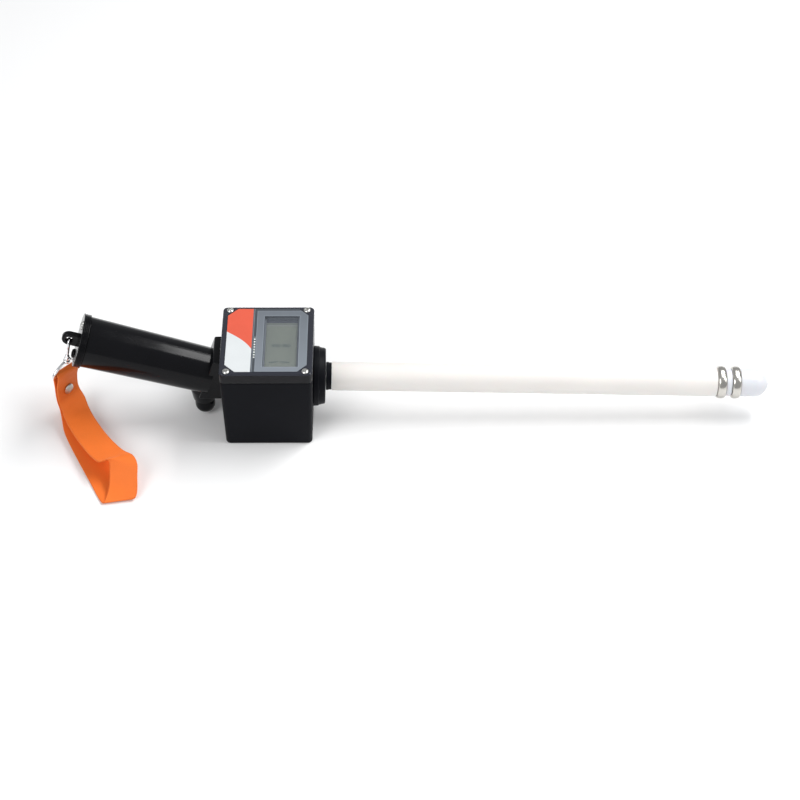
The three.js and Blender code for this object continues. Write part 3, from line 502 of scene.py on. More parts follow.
def display_ground(name, colours):
    """The liquid crystal's grey-green ground, with a painted shadow of the frame across its head that fades
    downward, and a bright line below the shadow.
    """
    look = Finish(name)
    low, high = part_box("lcd_glass")
    _, y, _ = look.axes()
    cloud = look.noise(11 * MM, 2)
    cells = look.noise(0.25 * MM, 2)
    base = look.mix(cloud, tint(colours.display, 0.92), tint(colours.display, 1.12))
    # the head is darkened and fades downward: a painted shadow of the frame over the display
    head = y.above(high.y - 4.6 * MM, 0.3 * MM)
    painted_shadow_fade = y.within(high.y - 7.6 * MM, high.y - 4.6 * MM, 1.2 * MM)
    bright = y.within(high.y - 8.2 * MM, high.y - 7.6 * MM, 0.3 * MM)
    foot = 1 - y.above(low.y + 1.2 * MM, 0.4 * MM)
    base = look.mix(0.4 * painted_shadow_fade, base, (0.11, 0.115, 0.12))
    # painted shadow of the frame at the display's head
    base = look.mix(head, base, (0.062, 0.066, 0.085))
    base = look.mix(0.6 * bright + 0.4 * foot, base, (0.42, 0.43, 0.42))
    return look.surface(Base_Color=base, Roughness=0.18 + 0.05 * cloud,
                        Normal=look.bump(cells, 0.004 * MM, 0.4), Specular_IOR_Level=0.3)


def display_ink(name):
    """Faint dark segments of the display."""
    look = Finish(name)
    cloud = look.noise(3 * MM, 2)
    base = look.mix(cloud, (0.02, 0.045, 0.045), (0.04, 0.07, 0.065))
    return look.surface(Base_Color=base, Roughness=0.35 + 0.1 * cloud)


def lacquered_board(name, shade):
    """Circuit board: green lacquer, with copper tracks showing as lighter lines."""
    look = Finish(name)
    x, y, _ = look.axes()
    rows = (x * (2 * math.pi / (2.5 * MM))).sine().above(0.55, 0.1)
    columns = (y * (2 * math.pi / (3.8 * MM))).sine().above(0.8, 0.1)
    track = rows + columns
    patch = look.noise(6 * MM, 2).above(0.5, 0.03)
    base = look.mix(0.5 * track * patch, shade, tint(shade, 2.4))
    return look.surface(Base_Color=base, Roughness=0.34 + 0.1 * patch,
                        Normal=look.bump(track, 0.03 * MM, 0.5))


def cell_jacket(name, place):
    """Printed battery jacket: a plain band over a brushed metal ground."""
    look = Finish(name)
    axis = look.mapped(location=tuple(place.translation), rotation=tuple(place.to_euler()))
    height = look.axes(axis)[2]
    band = height.within(-14 * MM, 20 * MM, 0.4 * MM)
    brushed = look.noise(0.3 * MM, 2, vector=axis, stretch=(1, 1, 18))
    base = look.mix(band, (0.55, 0.55, 0.57), (0.03, 0.08, 0.22))
    return look.surface(Base_Color=base, Metallic=0.7 - 0.6 * band, Roughness=0.28 + 0.15 * brushed)


def woven_webbing(name, shade, width, warp, weft):
    """Dyed webbing in a fine twill, with tight edges. The map runs across in U and along in V, in metres."""
    look = Finish(name)
    where = look.node("ShaderNodeUVMap", {"uv_map": "weave"})
    u, v, _ = look.axes(where)
    across = u * (2 * math.pi / warp)
    along = v * (2 * math.pi / weft)
    twill = (across + along).sine()
    yarn = across.sine()
    fold = look.noise(18 * MM, 3)
    fuzz = look.noise(0.3 * MM, 3)
    selvage = abs(u).above(width / 2 - 1.1 * MM, 0.3 * MM)
    height = 0.5 * twill + 0.3 * yarn + 0.5 * selvage + 0.4 * fuzz
    light = look.mix(fold, tint(shade, 0.9), tint(shade, 1.06))
    # darker in the twill's valleys: painted shade in the weave's hollows
    base = look.mix(0.10 - 0.10 * twill, light, tint(shade, 0.5))
    base = look.mix(0.25 * selvage, base, tint(shade, 0.7))
    return look.surface(Base_Color=base, Roughness=0.52 + 0.12 * fuzz, Sheen_Weight=0.25, Sheen_Roughness=0.4,
                        Sheen_Tint=(1.0, 0.62, 0.35, 1), Specular_IOR_Level=0.35,
                        Normal=look.bump(height, 0.06 * MM, 0.55))


def studio_floor(name, shade):
    """Pale studio floor."""
    look = Finish(name)
    cloud = look.noise(600 * MM, 2)
    base = look.mix(cloud, tint(shade, 0.985), shade)
    return look.surface(Base_Color=base, Roughness=0.75 + 0.05 * cloud, Specular_IOR_Level=0.1)


# ---------- mesh tools ----------
def spot(node):
    """The middle of a CAD node's box."""
    low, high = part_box(node)
    return (low + high) / 2


def placed(origin, along, across=None):
    """A frame whose Z runs along a direction. Its X is the one given, or square to the row's Y."""
    z = Vector(along).normalized()
    x = Vector(across).normalized() if across is not None else Vector((0, 1, 0)).cross(z).normalized()
    y = z.cross(x).normalized()
    matrix = Matrix((y.cross(z), y, z)).transposed().to_4x4()
    matrix.translation = origin
    return matrix


def span(node, place):
    """Lowest and highest place of a CAD node along a frame's Z, and its largest radius round it."""
    back = place.inverted()
    points = [back @ vertex.co for vertex in NODES[node].data.vertices]
    heights = [point.z for point in points]
    return min(heights), max(heights), max(math.hypot(point.x, point.y) for point in points)


def strip(bm, first, second):
    """Faces between two rings, either of which may be a single point."""
    count = max(len(first), len(second))
    for i in range(count):
        j = (i + 1) % count
        near = first[i % len(first)], first[j % len(first)]
        far = second[j % len(second)], second[i % len(second)]
        bm.faces.new(dict.fromkeys(near + far))


def rounded(profile, closed=False, steps=4):
    """A profile with its corners rounded: each corner is (radius, height) or (radius, height, rounding)."""
    count = len(profile)
    points = []
    for i, corner in enumerate(profile):
        here = Vector(corner[:2])
        if len(corner) < 3 or (not closed and i in (0, count - 1)):
            points.append(tuple(here))
            continue
        sides = [Vector(profile[(i + step) % count][:2]) - here for step in (-1, 1)]
        half = sides[0].angle(sides[1]) / 2
        reach = min(corner[2] / math.tan(half), 0.48 * sides[0].length, 0.48 * sides[1].length)
        start, end = [here + side.normalized() * reach for side in sides]
        for k in range(steps + 1):
            t = k / steps
            points.append(tuple(start * (1 - t) ** 2 + here * (2 * t * (1 - t)) + end * t ** 2))
    return points


def turned(profile, place, segments=96):
    """A turned piece. Its profile starts and ends on the axis, or else closes on itself. A stretch
    of the profile along the axis makes no faces."""
    bm = bmesh.new()
    rings = []
    for radius, height in profile:
        count = 1 if radius < ON_AXIS else segments
        angles = [2 * math.pi * i / segments for i in range(count)]
        rings.append([bm.verts.new((radius * math.cos(a), radius * math.sin(a), height)) for a in angles])
    for first, second in zip(rings, rings[1:]):
        if len(first) > 1 or len(second) > 1:
            strip(bm, first, second)
    if len(rings[0]) > 1:
        strip(bm, rings[-1], rings[0])
    bm.transform(place)
    return bm


def rod(radius, low, high, place, segments=48):
    """A plain cylinder along a frame's Z."""
    return turned([(0, low), (radius, low), (radius, high), (0, high)], place, segments)


def lofted(rings):
    """A closed skin through rings of points, with flat ends."""
    bm = bmesh.new()
    made = [[bm.verts.new(point) for point in ring] for ring in rings]
    for first, second in zip(made, made[1:]):
        strip(bm, first, second)
    bm.faces.new(made[0])
    bm.faces.new(made[-1])
    return bm


def rounded_rectangle(half_x, half_y, corner, z, steps=7):
    """The points of a rectangle with round corners, at one height."""
    points = []
    for quarter, (sign_x, sign_y) in enumerate(((1, 1), (-1, 1), (-1, -1), (1, -1))):
        for i in range(steps + 1):
            angle = math.pi / 2 * (quarter + i / steps)
            points.append((sign_x * (half_x - corner) + corner * math.cos(angle),
                           sign_y * (half_y - corner) + corner * math.sin(angle), z))
    return points


def swept(points, radius, sides=18, closed=False):
    """A round bar along a list of points; radius is a number or a function of the share of the way."""
    bm = bmesh.new()
    points = [Vector(point) for point in points]
    count = len(points)
    normal = None
    rings = []
    for i, point in enumerate(points):
        before = points[i - 1] if closed or i else point
        after = points[(i + 1) % count] if closed or i < count - 1 else point
        tangent = (after - before).normalized()
        if normal is None:
            normal = tangent.orthogonal().normalized()
        normal = (normal - tangent * normal.dot(tangent)).normalized()
        side = tangent.cross(normal)
        size_here = radius(i / (count - 1)) if callable(radius) else radius
        rings.append([bm.verts.new(point + size_here * (math.cos(a) * normal + math.sin(a) * side))
                      for a in (2 * math.pi * k / sides for k in range(sides))])
    for first, second in zip(rings, rings[1:]):
        strip(bm, first, second)
    if closed:
        shift = min(range(sides), key=lambda k: (rings[0][k].co - rings[-1][0].co).length)
        strip(bm, rings[-1], rings[0][shift:] + rings[0][:shift])
    else:
        bm.faces.new(rings[0])
        bm.faces.new(rings[-1])
    return bm


def catmull(points, count, closed=False, centripetal=True):
    """Points on a Catmull-Rom curve through the given points, at even steps of its parameter."""
    points = [np.array(point, float) for point in points]
    total = len(points)
    spans = total if closed else total - 1
    if closed:
        at = lambda i: points[i % total]
    else:
        ends = {-1: 2 * points[0] - points[1], total: 2 * points[-1] - points[-2]}
        at = lambda i: ends.get(i, points[min(max(i, 0), total - 1)])
    made = []
    for k in range(count if closed else count + 1):
        where = spans * k / count
        i = min(int(where), spans - 1)
        t = where - i
        p = [at(i + step) for step in (-1, 0, 1, 2)]
        if centripetal:
            gap = [max(np.linalg.norm(b - a), 1e-9) ** 0.5 for a, b in zip(p, p[1:])]
            start, end = [((q[1] - q[0]) / g[0] - (q[2] - q[0]) / (g[0] + g[1])
                           + (q[2] - q[1]) / g[1]) * gap[1] for q, g in ((p, gap), (p[1:], gap[1:]))]
        else:
            start, end = (p[2] - p[0]) / 2, (p[3] - p[1]) / 2
        made.append(p[1] + start * t + (3 * (p[2] - p[1]) - 2 * start - end) * t ** 2
                    + (2 * (p[1] - p[2]) + start + end) * t ** 3)
    return made


def piece_of(bm, name):
    """An object at the origin made from a closed mesh, with its faces pointing out."""
    bmesh.ops.remove_doubles(bm, verts=bm.verts, dist=ON_AXIS)
    bmesh.ops.recalc_face_normals(bm, faces=bm.faces)
    mesh = bpy.data.meshes.new(name)
    bm.to_mesh(mesh)
    bm.free()
    made = bpy.data.objects.new(name, mesh)
    bpy.context.scene.collection.objects.link(made)
    return made


def made_plain(piece):
    """The piece with its modifiers worked into a plain mesh."""
    bpy.context.view_layer.update()
    result = piece.evaluated_get(bpy.context.evaluated_depsgraph_get())
    mesh = bpy.data.meshes.new_from_object(result)
    piece.modifiers.clear()
    piece.data = mesh
    mesh.name = piece.name
    return piece


def carved(piece, *steps):
    """The piece after joins and cuts. Each step is an operation and the mesh it works with."""
    tools = []
    for operation, bm in steps:
        tool = piece_of(bm, "tool")
        tools.append(tool)
        modifier = piece.modifiers.new(operation, "BOOLEAN")
        modifier.operation = operation
        modifier.solver = "EXACT"
        modifier.object = tool
    made_plain(piece)
    for tool in tools:
        bpy.data.objects.remove(tool)
    return piece


def finished(piece, body, material, nodes=(), crease=33):
    """Shades a piece, gives it its material and body, and lets it stand for its CAD nodes."""
    mesh = piece.data
    mesh.materials.clear()
    mesh.materials.append(material)
    mesh.shade_smooth()
    mesh.set_sharp_from_angle(angle=math.radians(crease))
    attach(piece, body)
    if nodes:
        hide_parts(*nodes)
    return piece


def coat(material, *nodes):
    """Gives CAD nodes that keep their own mesh a material."""
    for node in nodes:
        slots = NODES[node].data.materials
        slots.clear()
        slots.append(material)


def repeated(name, single, points, material, most_turn, seed):
    """Copies of one mesh on points, each turned about Z at random, made by a small node tree."""
    tree = bpy.data.node_groups.new(name + "_copies", "GeometryNodeTree")
    tools = Graph(tree)
    inputs = {}
    for label, kind in (("Points", "NodeSocketGeometry"), ("Single", "NodeSocketObject"),
                        ("Most Turn", "NodeSocketFloat"), ("Seed", "NodeSocketInt"),
                        ("Material", "NodeSocketMaterial")):
        inputs[label] = tree.interface.new_socket(label, in_out="INPUT", socket_type=kind).identifier
    tree.interface.new_socket("Geometry", in_out="OUTPUT", socket_type="NodeSocketGeometry")
    source = tree.nodes.new("NodeGroupInput")
    given = {socket.name: Value(tools, socket) for socket in source.outputs if socket.name}
    single_mesh = tools.node("GeometryNodeObjectInfo", sockets={"Object": given["Single"]}, out="Geometry")
    spin = tools.node("FunctionNodeRandomValue", {"data_type": "FLOAT"},
                      {2: 0.0, 3: given["Most Turn"], "Seed": given["Seed"]}, out=1)
    turned_by = tools.node("ShaderNodeCombineXYZ", sockets={2: spin})
    copies = tools.node("GeometryNodeInstanceOnPoints",
                        sockets={"Points": given["Points"], "Instance": single_mesh, "Rotation": turned_by})
    real = tools.node("GeometryNodeRealizeInstances", sockets={0: copies})
    painted = tools.node("GeometryNodeSetMaterial", sockets={"Geometry": real, "Material": given["Material"]})
    target = tree.nodes.new("NodeGroupOutput")
    tree.links.new(painted.socket, target.inputs[0])

    mesh = bpy.data.meshes.new(name)
    mesh.from_pydata([tuple(point) for point in points], [], [])
    made = bpy.data.objects.new(name, mesh)
    bpy.context.scene.collection.objects.link(made)
    modifier = made.modifiers.new("copies", "NODES")
    modifier.node_group = tree
    values = {"Single": single, "Most Turn": most_turn, "Seed": seed, "Material": material}
    for label, value in values.items():
        modifier[inputs[label]] = value
    made_plain(made)
    bpy.data.objects.remove(single)
    return made


def moved_by(piece, matrix):
    """Places a piece by its mesh, so that its object stays at the origin."""
    piece.data.transform(matrix)
    return piece


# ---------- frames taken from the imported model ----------
PROBE = placed(spot("probe_tube"), spot("electrode_spacer") - spot("probe_tube"))
CELLS = sum((spot(f"battery_cell_{i}") for i in range(1, 5)), Vector()) / 4
HANDLE = placed(CELLS, spot("cap_seal") - CELLS)
UPRIGHT = placed(Vector((spot("measure_button").x, 0, 0)), (0, 0, 1))
HOOK = placed(Vector(JOINTS["hook_swing"]["pos_m"]), JOINTS["ring_swivel"]["axis"], (0, -1, 0))
RING = placed(Vector(JOINTS["ring_swivel"]["pos_m"]), JOINTS["ring_swivel"]["axis"],
              JOINTS["strap_swing"]["axis"])
RIVET = placed(spot("strap_rivet"), (RING.col[0][1], -RING.col[0][0], 0), (0, 0, 1))
GAP = 0.3 * MM
GRIP_LENGTH = 111 * MM  # the grip's round part, with its root inside the wedge block
BOSS_HEIGHT = 25 * MM  # from the boss's mouth to its root inside the grip
BORE_DEPTH = 23 * MM  # of the button's bore, from the boss's mouth


def settings():
    return bpy.context.scene.grain_meter


def case_half(z):
    """Half the case's size in X and Y at a height."""
    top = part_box("head_body")[1]
    lean = (z - top.z) * math.tan(settings().case.draft)
    return top.x + lean, top.y + lean


def case_ring(z, inset, corner):
    """The case's outline at a height, drawn in by an inset."""
    half_x, half_y = case_half(z)
    return rounded_rectangle(half_x - inset, half_y - inset, max(corner - inset, 0.6 * MM), z)


def rounded_end(z, edge, corner, inset=0.0, steps=5, low=True):
    """Rings, from the lowest up, that round the edge at the foot or the top of a lofted wall."""
    rings = []
    for k in range(steps, -1, -1):
        angle = math.pi / 2 * k / steps
        if not low:
            angle = math.pi / 2 - angle
        level = z + (edge if low else -edge) * (1 - math.sin(angle))
        rings.append(case_ring(level, inset + edge * (1 - math.cos(angle)), corner + inset))
    return rings


# ---------- operators ----------
class MeterOperator:
    """What the meter's operators share."""
    bl_options = {"REGISTER", "UNDO"}

    def execute(self, context):
        self.build(context.scene.grain_meter)
        return {"FINISHED"}


class METER_OT_case(MeterOperator, bpy.types.Operator):
    """Builds the tapered case of the head, a hollow moulding with a rounded foot"""
    bl_idname = "meter.case"
    bl_label = "Case"

    def build(self, s):
        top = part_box("head_body")[1].z
        c = s.case
        outer = rounded_end(0, c.foot_edge, c.corner)
        outer += rounded_end(top, c.rim_edge, c.corner, low=False)
        inner = [case_ring(z, inset, c.corner) for z, inset in
                 ((top, c.wall - c.rim_edge), (top - c.rim_edge, c.wall),
                  (c.floor + c.rim_edge, c.wall), (c.floor, c.wall + c.rim_edge))]
        case = piece_of(lofted(outer + inner), "case")
        spigot = rod(s.probe.spigot_radius + GAP, -3 * c.wall, 3 * c.wall,
                     placed(PROBE @ Vector((0, 0, span("probe_flange", PROBE)[0])), PROBE.col[2].xyz), 96)
        carved(case, ("DIFFERENCE", spigot))
        black = satin_plastic("case_black", s.colours.case)
        finished(case, "meter", black, ["head_body"])


class METER_OT_lid(MeterOperator, bpy.types.Operator):
    """Builds the clear lid with its four screw pads"""
    bl_idname = "meter.lid"
    bl_label = "Clear lid"

    def build(self, s):
        c = s.case
        low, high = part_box("clear_lid")
        skin = [case_ring(low.z, 0.3 * MM, c.corner), case_ring(low.z + 0.3 * MM, 0, c.corner)]
        skin += rounded_end(high.z, c.lid_edge, c.corner, low=False)
        lid = piece_of(lofted(skin), "clear_lid_skin")
        inner_top = high.z - c.lid_plate
        hollow = [case_ring(low.z - MM, c.lid_wall, c.corner)]
        hollow += rounded_end(inner_top, 0.6 * MM, c.corner, inset=c.lid_wall, low=False)
        room = piece_of(lofted(hollow), "lid_room")
        screws = [f"lid_screw_{i}" for i in range(1, 5)]
        uprights = [placed(Vector((*spot(screw).xy, 0)), (0, 0, 1)) for screw in screws]
        pads = [rod(c.pad_radius, low.z - 2 * MM, high.z, place) for place in uprights]
        carved(room, *[("DIFFERENCE", pad) for pad in pads])
        bm = bmesh.new()
        bm.from_mesh(room.data)
        bpy.data.objects.remove(room)
        steps = [("DIFFERENCE", bm)]
        for screw, place in zip(screws, uprights):
            _, screw_high, radius = span(screw, placed(spot(screw), (0, 0, 1)))
            seat = spot(screw).z + screw_high - radius * s.screws.head_share
            steps.append(("DIFFERENCE", rod(radius + GAP, seat - GAP, high.z + MM, place)))
            steps.append(("DIFFERENCE", rod(radius / 2, low.z - MM, high.z, place)))
        carved(lid, *steps)
        finished(lid, "meter", clear_plastic("lid_clear"), ["clear_lid"])


class METER_OT_face(MeterOperator, bpy.types.Operator):
    """Prints the label and the window film, and finishes the display with its segments"""
    bl_idname = "meter.face"
    bl_label = "Face and display"

    def build(self, s):
        coat(label_print("label_print", s.colours), "face_label")
        coat(window_print("window_print", s.colours), "face_window")
        coat(display_ground("display_ground", s.colours), "lcd_glass")
        # the bezel takes the film's dark tint, a painted shade so its lit inner walls read as the shadow the
        # frame casts on the display
        coat(satin_plastic("display_bezel", tint(s.colours.film, 1.1)), "lcd_frame")
        self.segments(display_ink("display_ink"))

    def segments(self, ink):
        low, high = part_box("lcd_glass")
        level = high.z + 0.03 * MM
        middle = (low.x + high.x) / 2
        pitch = 1.9 * MM
        digits = [(middle + side * 4.4 * MM + (k - 1.5) * pitch, -2.4 * MM, level)
                  for side in (-1, 1) for k in range(4)]
        figure = repeated("display_digits", self.digit(), digits, ink, 0.0, 0)
        finished(figure, "meter", ink)
        ticks = []
        for side in (-1, 1):
            for k in range(5):
                across = side * (1.6 + 1.6 * k) * MM
                ticks.append((middle - 1.2 * MM + across, -22.4 * MM - across ** 2 * 12, level))
        tick = piece_of(self.bar(0.55 * MM, 0.95 * MM), "tick")
        finished(repeated("display_ticks", tick, ticks, ink, 0.0, 0), "meter", ink)

    def bar(self, half_x, half_y, x=0.0, y=0.0):
        """A thin six-sided segment."""
        point = min(half_x, half_y)
        if half_x > half_y:
            outline = [(half_x, 0), (half_x - point, half_y), (point - half_x, half_y),
                       (-half_x, 0), (point - half_x, -half_y), (half_x - point, -half_y)]
        else:
            outline = [(0, half_y), (-half_x, half_y - point), (-half_x, point - half_y),
                       (0, -half_y), (half_x, point - half_y), (half_x, half_y - point)]
        thick = 0.03 * MM
        return lofted([[(x + px, y + py, z) for px, py in outline] for z in (0, thick)])

    def digit(self):
        """Seven segments in one mesh."""
        half_width, half_height, thick = 0.68 * MM, 0.84 * MM, 0.26 * MM
        bars = [(half_width - thick, thick, 0, row * 2 * half_height) for row in (-1, 0, 1)]
        bars += [(thick, half_height - thick, side * half_width, row * half_height)
                 for side in (-1, 1) for row in (-1, 1)]
        whole = bmesh.new()
        for half_x, half_y, x, y in bars:
            part = bpy.data.meshes.new("segment")
            bm = self.bar(half_x, half_y, x, y)
            bm.to_mesh(part)
            bm.free()
            whole.from_mesh(part)
            bpy.data.meshes.remove(part)
        return piece_of(whole, "digit")


def pan_screw(radius, length, s):
    """A pan-head screw with a cross recess; its head sits on height 0."""
    height = radius * s.head_share
    shank = radius * 0.46
    profile = rounded([(0, -length), (shank * 0.8, -length, 0.1 * MM), (shank, -length + shank * 0.6),
                       (shank, 0), (radius, 0, 0.1 * MM), (radius, height * 0.42, radius * 0.25),
                       (radius * 0.74, height * 0.92, radius * 0.5), (0, height)], steps=5)
    screw = piece_of(turned(profile, Matrix.Identity(4), 48), "screw")
    arm = radius * s.recess_reach
    half = radius * s.recess_width / 2
    cuts = []
    for quarter in (0, 1):
        bottom, top = height * 0.28, height * 1.3
        rings = []
        for z, reach in ((bottom, arm * 0.45), (top, arm * 1.15)):
            corners = [(reach, half), (-reach, half), (-reach, -half), (reach, -half)]
            rings.append([(x, y, z) if quarter == 0 else (-y, x, z) for x, y in corners])
        cuts.append(("DIFFERENCE", lofted(rings)))
    return carved(screw, *cuts)


class METER_OT_screws(MeterOperator, bpy.types.Operator):
    """Builds the lid's screws and the end cap's screws as repeated copies"""
    bl_idname = "meter.screws"
    bl_label = "Screws"

    def build(self, s):
        bright = plated_metal("screw_plate", s.colours.zinc, 0.20)
        names = [f"lid_screw_{i}" for i in range(1, 5)]
        self.row("lid_screws", names, placed(Vector(), (0, 0, 1)), bright, "chrome_plate", s.screws)
        self.row("cap_screw_bright", ["cap_screw_2"], HANDLE, bright, "chrome_plate", s.screws)
        # cap_screw_1 is the same plated screw as cap_screw_2; it is given gloss black plastic as a painted
        # shade for the dark surroundings it reflects
        black = gloss_plastic("cap_screw_black", s.colours.grip)
        self.row("cap_screw_dark", ["cap_screw_1"], HANDLE, black, "grip_plastic", s.screws)

    def row(self, name, nodes, place, material, slot, screws):
        back = place.inverted()
        points = []
        for node in nodes:
            centre = back @ spot(node)
            low, high, radius = span(node, placed(spot(node), place.col[2].xyz))
            points.append((centre.x, centre.y, centre.z + high - radius * screws.head_share))
        single = pan_screw(radius, high - low - radius * screws.head_share, screws)
        copies = repeated(name, single, points, material, math.pi / 2, screws.turn_seed)
        finished(moved_by(copies, place), "meter", material, nodes)


class METER_OT_probe(MeterOperator, bpy.types.Operator):
    """Builds the flange, collar, tube, electrode rings, spacer and tip"""
    bl_idname = "meter.probe"
    bl_label = "Probe"

    def build(self, s):
        p = s.probe
        black = satin_plastic("flange_black", s.colours.case)
        steel = turned_steel("electrode_steel", s.colours.steel, PROBE)
        warm = white_plastic("tube_white", s.colours.tube, PROBE, 0.36, 60)
        cool = white_plastic("tip_white", s.colours.tip, PROBE, 0.30, 1)
        self.flange(p, black)
        self.collar(p, black)
        low, high, radius = span("probe_tube", PROBE)
        bore = radius - p.tube_wall
        self.sleeve("tube", bore, radius, low, high, p.edge, warm, "tube_white", "probe_tube")
        low, high, spacer = span("electrode_spacer", PROBE)
        self.sleeve("spacer", spacer - 2.5 * MM, spacer, low, high, p.edge, cool, "tip_white",
                    "electrode_spacer")
        for place in ("rear", "front"):
            self.ring(place, radius - p.ring_seat, steel)
        self.tip(p, cool)

    def sleeve(self, name, inner, outer, low, high, edge, material, slot, node):
        profile = rounded([(inner, low, edge), (outer, low, edge), (outer, high, edge),
                           (inner, high, edge)], True)
        finished(piece_of(turned(profile, PROBE, 128), name), "meter", material, [node])

    def flange(self, p, material):
        low, high, radius = span("probe_flange", PROBE)
        wall = span("probe_collar", PROBE)[0] - GAP
        root = wall - 10.4 * MM
        lip = radius - 2.2 * MM
        inner = p.spigot_radius - p.spigot_wall
        profile = rounded([(0, root + 5.2 * MM), (inner, root + 5.2 * MM, MM), (inner, low, p.edge),
                           (p.spigot_radius, low, p.edge), (p.spigot_radius, root), (radius, root, 0.5 * MM),
                           (radius - 0.3 * MM, root + 4.4 * MM, 0.4 * MM),
                           (radius - 1.0 * MM, root + 4.9 * MM, 0.4 * MM),
                           (lip, high - 0.2 * MM, p.flange_lip), (14.5 * MM, high, 0.3 * MM),
                           (0, high)], steps=5)
        flange = piece_of(turned(profile, PROBE, 128), "flange")
        finished(flange, "meter", material, ["probe_flange"])

    def collar(self, p, material):
        low, high, radius = span("probe_collar", PROBE)
        step = low + 2 * MM
        small = radius - 0.5 * MM
        profile = rounded([(3 * MM, low), (radius, low, p.edge), (radius, step, p.edge),
                           (small, step + 0.4 * MM, 0.1 * MM), (small, high, p.edge), (3 * MM, high)], True)
        collar = piece_of(turned(profile, PROBE, 128), "collar")
        finished(collar, "meter", material, ["probe_collar"])

    def ring(self, place, seat, material):
        low, high, radius = span(f"electrode_ring_{place}", PROBE)
        middle, half = (low + high) / 2, (high - low) / 2
        steps = 26
        profile = [(seat, middle - half)]
        for k in range(steps + 1):
            angle = math.pi * (1 - k / steps)
            lift = math.sin(angle) ** 0.7
            profile.append((seat + (radius - seat) * (0.35 + 0.65 * lift), middle + half * math.cos(angle)))
        profile.append((seat, middle + half))
        ring = piece_of(turned(profile, PROBE, 144), f"ring_{place}")
        finished(ring, "meter", material, [f"electrode_ring_{place}"], crease=60)

    def tip(self, p, material):
        low, high, radius = span("probe_tip", PROBE)
        dome = high - radius
        inner = radius - p.tip_wall
        steps = 20

        def arc(r, k):
            angle = math.pi / 2 * k / steps
            return (r * math.cos(angle), dome + r * math.sin(angle))

        profile = rounded([(inner, low), (radius, low, p.edge), (radius, dome)])
        profile += [arc(radius, k) for k in range(1, steps)] + [(0, high), (0, dome + inner)]
        profile += [arc(inner, k) for k in range(steps - 1, -1, -1)]
        tip = piece_of(turned(profile, PROBE, 128), "tip")
        finished(tip, "meter", material, ["probe_tip"], crease=45)


